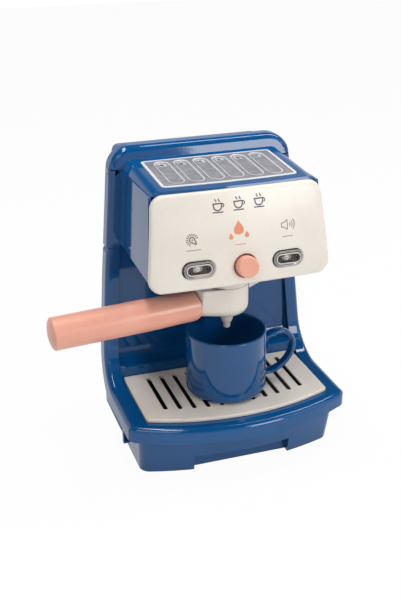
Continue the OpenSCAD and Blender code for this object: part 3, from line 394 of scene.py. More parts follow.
def onPanel(x, v, out):  # a point on the panel's own frame: x across, v up the face, out of it
    lean = math.radians(90 - panelPlace["lean"])
    x, v, out = np.broadcast_arrays(x, v, out)
    return np.stack([x, panelPlace["y"] + v * math.cos(lean) - out * math.sin(lean),
                     panelPlace["z"] + v * math.sin(lean) + out * math.cos(lean)], -1)


def panelFace(x, v, depth=0.0):
    # the double curve: a circle across the width whose radius shrinks towards the top and bottom
    bulgeRadius = panelPlace["height"] ** 2 / 8 / panelPlace["bulge"]
    ring = panelPlace["bow"] - bulgeRadius + np.sqrt((bulgeRadius - depth) ** 2 - v ** 2)
    return panelPlace["bulge"] - panelPlace["bow"] + np.sqrt(ring ** 2 - x ** 2)


def onFace(points, depth):  # points of a flat plan at a depth under the panel's curved face
    return onPanel(points[:, 0], points[:, 1], panelFace(points[:, 0], points[:, 1], depth))


def panelOutline(grow):
    p = panelPlace
    tilt = math.degrees(math.atan((p["low"] - p["high"]) / p["height"]))
    lift = p["height"] / 2 - p["corner"]
    slope = (p["high"] - p["low"]) / p["height"]
    highX = (p["low"] + p["high"]) / 2 + slope * lift - p["corner"] / math.cos(math.radians(tilt))
    lowX = (p["low"] + p["high"]) / 2 - slope * lift - p["corner"] / math.cos(math.radians(tilt))
    radius = p["corner"] + grow
    return np.concatenate([arc(highX, lift, radius, tilt, 90, 12),
                           arc(-highX, lift, radius, 90, 180 - tilt, 12),
                           arc(-lowX, -lift, radius, 180 - tilt, 270, 12),
                           arc(lowX, -lift, radius, 270, 360 + tilt, 12)])


def dense(loop, step):  # the same loop with points no further apart than step
    after = np.roll(loop, -1, 0)
    parts = []
    for first, last in zip(loop, after):
        count = max(1, int(np.ceil(np.hypot(*(last - first)) / step)))
        parts.append(first + (last - first) * np.arange(count)[:, None] / count)
    return np.concatenate(parts)


def onTop(points, height):  # a point on the head's top, which rises towards the back
    tilt = math.radians(topTilt)
    y, z = points[:, 1], np.full(len(points), height)
    return np.stack([points[:, 0], y * math.cos(tilt) - z * math.sin(tilt),
                     headTop + y * math.sin(tilt) + z * math.cos(tilt)], -1)


# edge is the rounding of all edges and broad that of the outer front one; bend is the least angle of an edge
# that is rounded, and flat the greatest one between faces that are joined, in degrees
housing = {"edge": 0.8, "broad": 5.0, "bend": 32, "flat": 0.6, "rimTop": 50, "rimInner": 83.67,
           "rimBack": -20, "rimLow": 45, "rimHigh": 70, "columnX": 78, "columnBack": 55, "archLow": 200,
           "archFront": 47, "leanFrom": 246, "lean": 0.25,
           "shells": ["lower_body", "upper_housing", "top_cover", "rear_cover"]}


def levelRim(work):  # the rim's top is level in front of the sweep, and its inner wall upright
    high = [corner for corner in work.verts if corner.co.y / mm < housing["rimBack"]
            and 0 < corner.co.z / mm - housing["rimTop"] < 5]
    for corner in high:
        corner.co.z = housing["rimTop"] * mm
        if abs(abs(corner.co.x) / mm - housing["rimInner"]) < 0.15:
            corner.co.x = math.copysign(housing["rimInner"] * mm, corner.co.x)
    if high:
        bmesh.ops.dissolve_degenerate(work, dist=5e-6, edges=work.edges)


def leanArch(work):  # the arch's front face slopes back towards its top
    for corner in work.verts:
        if corner.co.y / mm < housing["archFront"]:
            corner.co.y += max(corner.co.z / mm - housing["leanFrom"], 0) * housing["lean"] * mm
    work.normal_update()


def isOuter(line):
    # the outer front edge, which runs round the rim's top, up the columns and over the arch: one of its faces
    # looks to the front or up, and the other looks outwards, away from the middle of the machine
    if len(line.link_faces) != 2 or not line.is_convex or line.calc_face_angle(0) < 0.6:
        return False
    middle = (line.verts[0].co + line.verts[1].co) / 2 / mm
    if middle.y > housing["columnBack"]:
        return False
    normals = [face.normal for face in line.link_faces]
    for front, side in [normals, normals[::-1]]:
        if abs(front.x) > 0.2 or front.y > 0.1 or front.z < -0.1:
            continue
        rim = front.z > 0.9 and housing["rimLow"] < middle.z < housing["rimHigh"]
        rim = rim and side.x * middle.x + side.y * (middle.y + 10) > 20
        column = abs(middle.x) > housing["columnX"] and middle.z > housing["rimLow"]
        column = column and side.x * middle.x > 60
        arch = front.y < -0.9 and middle.y > 40 and middle.z > housing["archLow"]
        arch = arch and side.x * middle.x + side.z * (middle.z - 120) > 30
        if rim or column or arch:
            return True
    return False


def makeShell(node):
    # the CAD mesh of a shell, merged, with its flat areas joined and its edges rounded, the outer one broadly
    words = node.split("_")
    name = words[0] + words[1].capitalize()
    mesh = nodes[node].data.copy()
    mesh.name = name
    mesh.materials.clear()
    mesh.materials.append(bluePlastic)
    work = bmesh.new()
    work.from_mesh(mesh)
    bmesh.ops.remove_doubles(work, verts=work.verts, dist=4e-6)
    levelRim(work)
    bmesh.ops.dissolve_limit(work, angle_limit=math.radians(housing["flat"]), verts=work.verts,
                             edges=work.edges)
    leanArch(work)
    chain = [line for line in work.edges if isOuter(line)]
    if chain:
        bmesh.ops.bevel(work, geom=chain, offset=housing["broad"] * mm, offset_type="OFFSET", segments=6,
                        profile=0.5, affect="EDGES", clamp_overlap=False)
    for face in work.faces:
        face.smooth = face.normal.y < 0.99 or face.calc_area() < 0.00001  # the flat back keeps its own normal
    for line in work.edges:
        line.smooth = True
    work.to_mesh(mesh)
    work.free()
    piece = bpy.data.objects.new(name, mesh)
    bpy.context.scene.collection.objects.link(piece)
    rounding = piece.modifiers.new("roundedEdges", "BEVEL")
    rounding.width = housing["edge"] * mm
    rounding.segments = 3
    rounding.limit_method = "ANGLE"
    rounding.angle_limit = math.radians(housing["bend"])
    rounding.harden_normals = True
    rounding.miter_outer = "MITER_ARC"
    shading = piece.modifiers.new("flatShading", "WEIGHTED_NORMAL")
    shading.weight = 100
    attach(piece, "frame")
    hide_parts(node)


for node in housing["shells"]:
    makeShell(node)
print("housing made")


panel = {"edge": 2.4, "hole": 0.7, "grid": 4.0}
buttons = {"x": 37.4, "middle": 1.0, "v": -21.7, "length": 26.4, "width": 13.6, "out": 1.9, "gap": 0.4,
           "footX": 9, "well": 1.95, "wellOut": -3.6, "lensLong": 4.0, "lensShort": 2.5}
steam = {"x": 2.0, "v": -23.1, "radius": 8.6, "gap": 1.2, "out": 8.0}


def buttonPlace(side):
    return np.array([buttons["middle"] + side * buttons["x"], buttons["v"]])


def circle(radius, middle, count=64):
    return arc(0, 0, radius, 0, 360, count)[:-1] + np.asarray(middle)


def makePanel():
    # the outer edge rolls over in a quarter circle; the holes have a small round lip
    thick = panelPlace["thick"]
    outer = (lambda grow: dense(panelOutline(grow), 3), edgeProfile(panel["edge"], thick))
    lip = [(-grow, depth) for grow, depth in edgeProfile(panel["hole"], thick - 0.4, 3)][:-1] + [(0, thick)]
    steamHole = (lambda grow: circle(steam["radius"] + steam["gap"] + grow, (steam["x"], steam["v"])), lip)
    holes = [steamHole]
    for side in (-1, 1):
        holes.append((lambda grow, side=side: buttonPlace(side) + stadium(
            buttons["length"], buttons["width"], buttons["gap"] + grow), lip))
    points, faces, _ = plate(outer, holes, onFace, panel["grid"])
    addPiece("frontPanel", points, faces, creamPlastic, "frame", ["front_panel"])


makePanel()
print("panel made")


def onSteam(points):  # from a spun shape to the steam button's place
    return onPanel(steam["x"] + points[:, 0], steam["v"] + points[:, 1], points[:, 2])


def makeSteamButton():
    radius = steam["radius"]
    top = panelPlace["bulge"] - 1 + steam["out"]
    flange = [(0, -8), (radius + 2.6, -8), (radius + 2.6, -5.4), (radius, -5.4), (radius, -4)]
    face = [(radius * 0.8, top - 0.12), (radius * 0.6, top - 0.22), (radius * 0.3, top - 0.28),
            (0, top - 0.3)]
    profile = np.concatenate([flange, arc(radius - 1.3, top - 1.4, 1.3, 0, 80, 6), face])
    points, faces = spin(profile, 96)
    addPiece("steamButton", onSteam(points), faces, pinkPlastic, "steam_button", ["steam_button"])


def onButton(points, side):
    place = buttonPlace(side)
    return onPanel(place[0] + points[:, 0], place[1] + points[:, 1], points[:, 2])


def stadiumStack(profile, length, width):  # rings of a stadium that grow and rise along the profile
    loops = [(stadium(length, width, grow), height) for grow, height in profile]
    return np.stack([np.column_stack([loop, np.full(len(loop), height)]) for loop, height in loops])


def makeSideButton(side, name, node, body):
    # a clear hollow cap with two raised rings, a flange behind the panel and a foot over each switch
    length, width = buttons["length"], buttons["width"]
    top = buttons["out"] + 0.4
    outer = [(1.5, -7.6), (1.5, -6.2), (0, -6.2), (0, top - 1.0)]
    outer += [tuple(point) for point in arc(-0.9, top - 0.9, 0.9, 15, 90, 4)]
    outer += [(-1.5, top), (-1.75, top - 0.15), (-1.9, top - 0.6), (-2.4, top - 0.6), (-2.55, top - 0.15),
              (-2.8, top), (-3.2, top), (-3.45, top - 0.15), (-3.6, top - 0.5)]
    shell = tube(stadiumStack(outer, length, width), capLow=False)
    inner = [(1.5, -7.6), (-1.6, -7.6), (-1.6, top - 2.2), (-2.0, top - 1.8)]
    hollow = tube(stadiumStack(inner, length, width), capLow=False)
    foot = spin([(0, -12.1), (1.5, -12.1), (1.5, -7.6), (2.9, -7.6), (2.9, -6.2), (1.5, -6.2),
                 (1.5, top - 1.9), (0, top - 1.9)], 24)
    feet = [(foot[0] + (x, 0, 0), foot[1]) for x in (-buttons["footX"], buttons["footX"])]
    points, faces = join(shell, hollow, *feet)
    count = len(stadium(length, width))
    across = np.repeat([grow for grow, height in outer], count)
    high = np.repeat([height for grow, height in outer], count) > top - 0.2
    # the rim values paint a highlight: strong on the cap's raised top rings, faint on its flange and outer
    # wall
    rings = np.where(across > -1.6, 0.42, 0.9)  # how solid the raised rings look, the inner one most
    wallHighlight = np.where(across > -0.1, 0.06, 0.01)
    rim = np.zeros(len(points))
    rim[:len(across)] = np.where(high, rings, wallHighlight)
    addPiece(name, onButton(points, side), faces, capClear, body, [node], rim=rim)


def makeLampWell(side, name):
    # a dark reflector round the lamp, with a hole for each foot, held by a sleeve that stands on the board
    outline = lambda grow: stadium(buttons["length"], buttons["width"], grow - buttons["well"])
    flat = lambda points, depth: np.column_stack([points, np.full(len(points), buttons["wellOut"] - depth)])
    outer = (outline, [(-0.8, 0), (0, -0.9), (0.1, -0.9), (0.1, 0.7), (-0.2, 0.9)])
    holes = []
    for x in (-buttons["footX"], buttons["footX"]):
        holes.append((lambda grow, x=x: circle(2.0 + grow, (x, 0), 32), [(0.2, 0), (0, 0.2), (0, 0.9)]))
    holes.append((lambda grow: circle(3.0 + grow, (0, 0), 40), [(0.8, 0), (0, 0.8), (0, 0.9)]))
    points, faces, _ = plate(outer, holes, flat, 1.5)
    sleeve = spin([(3.05, -4.4), (3.05, -15.2), (3.9, -15.2), (3.9, -4.4), (3.05, -4.4)], 40)
    points, faces = join((points, faces), sleeve)
    addPiece(name + "Well", onButton(points, side), faces, wellBrown, "frame")


def makeLens(side, name):
    # a lens over the lamp, an oval dish: its height is a bell in the middle, a slope outwards and a spiral
    # ridge, whose phase is the direction and which fades towards the edge
    turn = np.linspace(0, 2 * np.pi, 60, endpoint=False)
    share = np.linspace(0, 1, 22)[:, None]
    ridge = 0.45 * np.sin(share * 15 + turn) * share * (1 - share ** 4)
    height = -2.6 + 1.0 * np.exp(-(share * 3) ** 2) - 0.5 * share + ridge
    x = buttons["lensLong"] * share * np.cos(turn)
    y = buttons["lensShort"] * share * np.sin(turn)
    rings = np.stack([x, y, height + 0 * turn], -1)[1:][::-1]
    points, faces = tube(np.concatenate([rings[:1] - (0, 0, 0.8), rings]))
    addPiece(name + "Lens", onButton(points, side), faces, lensGrey, "frame")


makeSteamButton()
for side, name, body in [(-1, "light", "light_button"), (1, "sound", "sound_button")]:
    makeSideButton(side, name + "Cap", body, body)
    makeLampWell(side, name)
    makeLens(side, name)
print("buttons made")


def stroke(path, width, closed=False):  # a flat line of constant width along a path
    path = np.asarray(path, float)
    ahead = np.roll(path, -1, 0) if closed else np.vstack([path[1:], 2 * path[-1] - path[-2]])
    behind = np.roll(path, 1, 0) if closed else np.vstack([2 * path[0] - path[1], path[:-1]])
    along = ahead - behind
    along /= np.linalg.norm(along, axis=1, keepdims=True)
    side = np.column_stack([-along[:, 1], along[:, 0]]) * width / 2
    points = np.concatenate([path + side, path - side])
    count = len(path)
    last = count if closed else count - 1
    faces = [[i, (i + 1) % count, count + (i + 1) % count, count + i] for i in range(last)]
    return points, faces


def blob(loop):  # a filled outline, as a fan round its middle
    points = np.vstack([loop, loop.mean(0)])
    count = len(loop)
    return points, [[i, (i + 1) % count, count] for i in range(count)]


def print2d(name, parts, finish, lift=0.05):  # flat shapes laid on the panel's curve
    points, faces = join(*parts)
    placed = onPanel(points[:, 0], points[:, 1], panelFace(points[:, 0], points[:, 1]) + lift)
    addPiece(name, placed, faces, finish, "frame", turn=False)


def dropShape(x, v, width, height, count=48):
    # a teardrop: an oval whose sides are drawn in towards the top
    turn = np.linspace(0, 2 * np.pi, count, endpoint=False)
    side = np.sin(turn) * np.abs(np.sin(turn / 2)) ** 1.6
    return np.column_stack([x + width / 2 * side / 0.69, v + height / 2 * np.cos(turn)])


def moved(parts, x, v, scale=1.0, turn=0.0):
    spinBy = math.radians(turn)
    matrix = np.array([[math.cos(spinBy), math.sin(spinBy)], [-math.sin(spinBy), math.cos(spinBy)]]) * scale
    return [(points @ matrix + (x, v), faces) for points, faces in parts]


def lampIcon():
    neck = [(-1.15, -1.6), (-1.15, -3.2), (1.15, -3.2), (1.15, -1.6)]
    parts = [stroke(arc(0, 0, 2.0, -55, 235, 24), 0.85), stroke(neck, 0.85),
             stroke([(-0.9, -4.3), (0.9, -4.3)], 0.8), stroke([(-0.8, 0.4), (0, -0.7), (0.8, 0.4)], 0.6)]
    for turn in np.radians(np.arange(-20, 201, 22)):
        ray = np.array([math.cos(turn), math.sin(turn)])
        parts.append(stroke([ray * 3.1, ray * 4.8], 0.7))
    return parts


def speakerIcon():
    body = [(-3.6, -1.4), (-2, -1.4), (0.6, -3.3), (0.6, 3.3), (-2, 1.4), (-3.6, 1.4)]
    parts = [stroke(dense(np.array(body), 0.6), 0.5, True)]
    for radius in (1.7, 3.3, 4.9):
        parts.append(stroke(arc(0.9, 0, radius, -42, 42, 12), 0.5))
    return parts


def cupIcon():  # a cup on its saucer, with two lines of steam
    bowl = np.concatenate([[(-2.9, 1.6)], arc(0, -0.1, 2.5, 195, 345, 16), [(2.9, 1.6)]])
    parts = [stroke(dense(bowl, 0.4), 0.85, True), stroke(arc(2.9, 0.4, 1.15, -75, 80, 10), 0.7),
             stroke([(-3.4, -3.7), (3.4, -3.7)], 0.8)]
    wave = np.linspace(0, 1, 12)
    for x in (-1.1, 1.1):
        parts.append(stroke(np.column_stack([x + 0.4 * np.sin(wave * 2 * np.pi), 2.7 + wave * 1.9]), 0.65))
    return parts


def bar(x, v, length, width=0.7):
    return [stroke([(x - length / 2, v), (x + length / 2, v)], width)]


icons = {"lamp": (-40.6, 2.5), "speaker": (37.8, 5.6), "cups": [(-18.5, 26.2), (-1.5, 26.6), (15.5, 27.0)],
         "drops": [(-2.6, 8.4, 8.2, 11.6), (-9.2, 1.9, 3.7, 5.2), (3.9, 2.3, 3.7, 5.2)]}
print2d("lampIcon", moved(lampIcon(), *icons["lamp"], 1.05, 42), inkGrey)
print2d("speakerIcon", moved(speakerIcon(), *icons["speaker"], 1.2), inkGrey)
cups = []
for place in icons["cups"]:
    cups += moved(cupIcon(), *place, 1.25)
print2d("cupIcons", cups, inkGrey)
print2d("greyBars", bar(-40, -5.6, 12) + bar(38.5, -3.7, 9), inkLabel)
print2d("pinkBar", bar(-1.6, -5.2, 9), inkPink)
print2d("dropIcons", [blob(dropShape(*drop)) for drop in icons["drops"]], inkPink)
print("pictograms made")


lid = {"half": 56.8, "front": -26, "back": 38.5, "bow": 2.0, "thick": 2.6, "up": 0.4, "corner": 4,
       "backCorner": 3, "channels": 6, "sides": 14, "rib": 5, "ends": 12, "deep": 0.9, "drainLong": 5,
       "drainWide": 3}


def lidOutline(grow):
    bow = lid["half"] ** 2 / 2 / lid["bow"]
    return dense(bowedPlan(lid["half"] + grow, lid["front"] - lid["bow"] - grow, bow + grow,
                           lid["corner"] + grow, lid["back"] + grow, lid["backCorner"] + grow), 3)


def makeLid():
    # a plate with a stepped border; each channel is a sunk stadium with a drain hole at its rear end
    pitch = (2 * lid["half"] - lid["sides"]) / lid["channels"]
    width = pitch - lid["rib"]
    length = lid["back"] - lid["front"] - lid["ends"]
    middle = (lid["front"] + lid["back"]) / 2
    place = lambda points, depth: onTop(points, lid["up"] - depth)
    turned = lambda loop: loop[:, ::-1] * (1, -1)
    outer = (lidOutline, [(-2.6, 0.45), (-2.4, 0.05), (-1.9, 0), (-0.5, 0), (-0.12, 0.12), (0, 0.5), (0, 2.3),
                          (-0.3, 2.6)])
    wall = [(0.9, 0.45), (0.8, 0.05), (0.5, -0.02), (0.2, 0.05), (0, 0.3), (-0.1, lid["deep"] - 0.15),
            (-0.4, lid["deep"])]
    hole = [(0.3, lid["deep"]), (0, lid["deep"] + 0.3), (0, lid["thick"])]
    parts, edgeHighlights, holes, drains = [], [], [], []
    for i in range(lid["channels"]):
        x = (i - (lid["channels"] - 1) / 2) * pitch
        channel = lambda grow, x=x: turned(stadium(length, width, grow)) + (x, middle)
        drain = lambda grow, x=x: turned(stadium(lid["drainLong"], lid["drainWide"], grow, 24)) + (
            x, middle + length / 2 - width / 2)
        holes.append((channel, wall))
        drains.append(drain)
        floor = fill([channel(-0.4), drain(0.3)], 3)
        drainWall = np.stack([place(drain(grow), depth) for grow, depth in hole])
        parts += [(place(floor[0], lid["deep"]), floor[1]), tube(drainWall, capLow=False, capHigh=False)]
        # painted highlight on the drain holes' edges, full at the top and fading down the hole; none on the
        # channel floors
        edgeHighlights += [np.zeros(len(floor[0])), np.repeat([1, 0.6, 0], len(drain(0)))]
    points, faces, rim = plate(outer, holes, place, 3, bottom=False)
    under = fill([lidOutline(-0.3)] + [drain(0) for drain in drains], 4)
    parts += [(points, faces), (place(under[0], lid["thick"]), under[1])]
    edgeHighlights += [rim, np.zeros(len(under[0]))]
    points, faces = join(*parts)
    addPiece("tankLid", points, faces, lidClear, "tank_lid", ["tank_lid"],
             rim=np.concatenate(edgeHighlights))


makeLid()
print("lid made")


grille = {"half": 81.0, "front": -64.0, "bow": 202.0, "back": 30.0, "corner": 4, "backCorner": 1.6,
          "top": 53.5, "thick": 3.0, "lip": 0.5,
          "slot": 3.9, "first": 14.0, "pitch": 11.8, "slots": 5, "fromFront": 17.6, "fromBack": 9.0}


def makeGrille():
    # drain slots in rows on both sides, each inside a low rounded bead
    g = grille
    level = g["top"] - g["lip"]
    place = lambda points, depth: np.column_stack([points, np.full(len(points), level - depth)])
    plan = lambda grow: bowedPlan(g["half"] + grow, g["front"] - grow, g["bow"] + grow, g["corner"] + grow,
                                  g["back"] + grow, g["backCorner"] + grow)
    outer = (lambda grow: dense(plan(grow), 4), edgeProfile(1.1, g["thick"]))
    bead = [(1.3, 0), (1.0, -0.04), (0.75, -0.18), (0.5, -0.26), (0.3, -0.24), (0.1, -0.1), (0, 0.15),
            (0, 0.8), (0.5, 1.3), (1.0, g["thick"])]
    holes = []
    for side in (-1, 1):
        for i in range(g["slots"]):
            x = g["first"] + g["pitch"] * i
            front = g["front"] + g["bow"] - math.sqrt(g["bow"] ** 2 - x ** 2) + g["fromFront"]
            back = g["back"] - g["fromBack"]
            holes.append((lambda grow, x=x * side, front=front, back=back: stadium(
                back - front, g["slot"], grow, 32)[:, ::-1] * (1, -1) + (x, (front + back) / 2), bead))
    points, faces, _ = plate(outer, holes, place, 3.5)
    addPiece("dripGrille", points, faces, grilleCream, "frame", ["drip_grille"])


makeGrille()
print("grille made")


portafilter = {"top": headBottom - 19.7, "bottom": headBottom - 47.1, "cup": 17.9, "corner": 9.25, "wall": 2,
               "axis": headBottom - 35.6, "turn": 4, "droop": 1.4, "neckEnd": 28.9, "neckLow": 10.2,
               "neckWide": 12.5, "tenon": 6.0, "tenonEnd": 54, "saddle": 29.6, "radius": 13.5, "slim": 0.8,
               "reach": 153.5, "dome": 34, "spout": 14.3, "lugLow": headBottom - 24.8, "lugEnd": 28.5,
               "lugHalf": 7, "lugSlope": 0.4}


def onHandle(across, up, along):
    # the handle's frame: along it from the cup's axis, turned a little to the front and drooping
    turn = math.radians(180 + portafilter["turn"])
    droop = math.radians(portafilter["droop"])
    run = along * math.cos(droop) + up * math.sin(droop)
    rise = up * math.cos(droop) - along * math.sin(droop)
    x = run * math.cos(turn) - across * math.sin(turn)
    y = run * math.sin(turn) + across * math.cos(turn)
    return np.stack([x, groupY + y, portafilter["axis"] + rise], -1)


def cupRadius(z):  # straight above, and a quarter circle at the lower corner
    p = portafilter
    sink = np.clip(p["bottom"] + p["corner"] - z, 0, p["corner"])
    return p["cup"] - p["corner"] + np.sqrt(p["corner"] ** 2 - sink ** 2)


def neckHalf(z):  # a half pipe under the axis that widens to flat sides above it
    p = portafilter
    rise = z - p["axis"]
    share = np.clip(rise / 8, 0, 1)
    pipe = np.sqrt(np.clip(p["neckLow"] ** 2 - np.minimum(rise, 0) ** 2, 0, None))
    return pipe + (p["neckWide"] - p["neckLow"]) * share ** 2 * (3 - 2 * share)


def cupOutline(z, grow, count=192):
    # for each direction the furthest point out of the cup's circle, the neck's round end and its corners,
    # so that cup and neck share one outline without a crease
    p = portafilter
    turn = np.linspace(0, 2 * np.pi, count, endpoint=False)
    out = np.stack([np.cos(turn), np.sin(turn)], -1)
    half = neckHalf(z) + grow
    bowl = (cupRadius(z) + grow) * out
    if half <= 0.3:
        points = bowl
    else:
        fillet = min(2.0, half * 0.6)
        end = p["neckEnd"] + min(grow, 0)
        corner = math.asin((half - fillet) / (end - fillet))
        side = np.sign(out[:, 1:]) + (out[:, 1:] == 0)
        centre = np.concatenate([np.full((count, 1), math.cos(corner)), side * math.sin(corner)], 1)
        wrapped = np.abs((turn + np.pi) % (2 * np.pi) - np.pi)[:, None]
        neck = np.where(wrapped < corner, end * out, (end - fillet) * centre + fillet * out)
        further = ((neck - bowl) * out).sum(1, keepdims=True) > 0
        points = np.where(further, neck, bowl)
    direction = math.radians(180 + p["turn"])
    x = points[:, 0] * math.cos(direction) - points[:, 1] * math.sin(direction)
    y = points[:, 0] * math.sin(direction) + points[:, 1] * math.cos(direction)
    return np.column_stack([x, groupY + y, np.full(count, z)])


def cupRing(radius, z, count=192):
    turn = np.linspace(0, 2 * np.pi, count, endpoint=False) + math.radians(180 + portafilter["turn"])
    return np.column_stack([radius * np.cos(turn), groupY + radius * np.sin(turn), np.full(count, z)])


def makeCup():
    # outlines stacked from the outlet over the outside to the top, then down the hollow to the outlet again
    p = portafilter
    low, top = p["bottom"], p["top"]
    rise = np.concatenate([p["corner"] * (1 - np.cos(np.radians(np.arange(9, 91, 9)))),
                           p["axis"] - low - p["neckLow"] * np.cos(np.radians(np.arange(2, 90, 8))),
                           np.arange(13, 26, 2)])
    rings = [cupRing(1.5, low), cupRing(6.4, low), cupRing(cupRadius(low + 0.01) - 0.4, low)]
    heights = [height for height in np.unique(rise.round(3)) if height < top - low - 0.3]
    rings += [cupOutline(low + height, 0.0) for height in heights]
    rings += [cupOutline(top - 0.3, 0.0), cupOutline(top - 0.1, -0.1), cupOutline(top, -0.3)]
    inner = p["cup"] - p["wall"]
    hollow = [(inner + 0.4, top), (inner, top - 0.4), (inner, low + 8), (inner - 2, low + 4),
              (inner - 6, low + 2.4), (1.9, low + 2), (1.5, low + 1.6)]
    rings += [cupRing(radius, z) for radius, z in hollow]
    body = np.concatenate(rings), ringFaces(len(rings), len(rings[0]), True)
    turn = np.linspace(0, 2 * np.pi, 48, endpoint=False)
    stub = [(0.02, 24), (p["tenon"], 24), (p["tenon"], p["tenonEnd"] - 1), (p["tenon"] - 1, p["tenonEnd"]),
            (0.02, p["tenonEnd"])]
    tenon = tube(np.stack([onHandle(radius * np.cos(turn), radius * np.sin(turn), along)
                           for radius, along in stub]))
    points, faces = join(body, tenon)
    addPiece("filterCup", points, faces, creamPlastic, "portafilter", ["portafilter_cup"],
             sharp=50)


def makeCollar():
    # a fixed ring over the cup and a lug on each side, the right one reaching down beside the cup
    p = portafilter
    foot, head = p["top"] + 0.15, headBottom + 1.2
    radius = p["cup"]
    ring = spin([(radius - 2, foot), (radius - 0.4, foot), (radius, foot + 0.4), (radius, head),
                 (radius - 2, head), (radius - 2, foot)])
    parts = [(ring[0] + (0, groupY, 0), ring[1])]
    half = [0.25, 0.5, 0.72, 0.88, 0.97, 1]
    across = p["lugHalf"] * np.array([-share for share in half[::-1]] + [0] + half)
    for side, low, out in [(1, p["lugLow"], radius + 0.5), (-1, foot, radius - 2)]:
        rings = []
        for y in across:
            start = math.sqrt(out ** 2 - y ** 2)
            end = p["lugEnd"] - 3 + math.sqrt(max(9 - max(abs(y) - 4, 0) ** 2, 0))
            slope = p["lugSlope"] if side > 0 else 0
            under = low + slope * (end - 18.4)
            rings.append([(start, low), (start + 0.6, low - 0.1), (end - 2.4, under - 0.9 * slope),
                          (end - 1, under - 0.1), (end - 0.3, under + 0.5), (end, under + 1.4), (end, head),
                          (start, head)])
        rings = np.array(rings)
        x, z = side * rings[:, :, 0], rings[:, :, 1]
        parts.append(tube(np.stack([x, groupY + across[:, None] + 0 * x, z], -1)))
    points, faces = join(*parts)
    addPiece("groupCollar", points, faces, creamPlastic, "frame", ["group_collar"], sharp=50)


def makeHandle():
    # rings round the handle's axis: the inner end is a saddle, the root of the saddle's radius squared less
    # the distance across squared, with a soft lower edge, and the outer end is a low dome
    p = portafilter
    count = 96
    turn = np.linspace(0, 2 * np.pi, count, endpoint=False)
    inner = p["radius"] - p["slim"]
    soft = 0.7 + 4.0 * (0.5 - 0.5 * np.sin(turn + 0.35)) ** 2
    saddle = lambda radius: np.sqrt(p["saddle"] ** 2 - (radius * np.cos(turn)) ** 2)
    bore, deep = p["tenon"] + 0.15, p["tenonEnd"] + 0.3
    level = lambda value: np.full(count, value)
    rings = [(level(0.02), level(deep)), (level(bore), level(deep)), (level(bore), saddle(bore) + 0.3),
             (level(bore + 0.3), saddle(bore + 0.3))]
    for bend in np.radians([0, 15, 30, 45, 60, 75, 90]):
        radius = inner - soft * (1 - np.sin(bend))
        rings.append((radius, saddle(radius) + soft * (1 - np.cos(bend))))
    for along in np.linspace(38, p["reach"] - 6, 20):
        share = np.clip((along - 34) / 40, 0, 1)
        rings.append((level(inner + p["slim"] * share ** 2 * (3 - 2 * share)), level(along)))
    edge = 1.5
    for radius, along in arc(p["radius"] - edge, p["reach"] - 2.7 - edge, edge, 0, 65, 6):
        rings.append((level(radius), level(along)))
    for radius in (p["radius"] - edge) * np.array([0.93, 0.8, 0.6, 0.4, 0.2, 0.02]):
        dome = p["reach"] - p["dome"] + math.sqrt(p["dome"] ** 2 - radius ** 2)
        rings.append((level(radius), level(dome)))
    points, faces = tube(np.stack([onHandle(radius * np.cos(turn), radius * np.sin(turn), along)
                                   for radius, along in rings]))
    addPiece("handle", points, faces, pinkPlastic, "portafilter", ["portafilter_handle"],
             sharp=50)


def makeNozzle():
    # a bell that narrows to a short spout
    top = portafilter["bottom"]
    low = top - portafilter["spout"]
    profile = [(1.5, top - 0.1), (1.5, low + 0.6), (1.8, low + 0.05), (2.3, low), (2.7, low + 0.4),
               (2.9, low + 1.2), (3.0, low + 3.9), (3.2, low + 4.6), (3.7, low + 5.2), (4.3, low + 6.3),
               (4.9, low + 8.0), (5.5, low + 10.2), (5.95, low + 12.2), (6.25, low + 13.6),
               (6.45, low + 14.1), (6.5, low + 14.25), (1.5, top - 0.1)]
    points, faces = spin(profile, 96)
    addPiece("nozzle", points + (0, groupY, 0), faces, creamPlastic, "portafilter", ["portafilter_nozzle"])


makeHandle()
makeNozzle()
makeCup()
makeCollar()
print("portafilter made")


mug = {"x": -1, "y": -16.6, "foot": 53.6, "radius": 34.5, "wall": 2.4, "footRadius": 5.5, "height": 56.4,
       "ringX": 8.6, "long": 0.413, "short": 0.328, "thick": 4.4, "wide": 8.6}


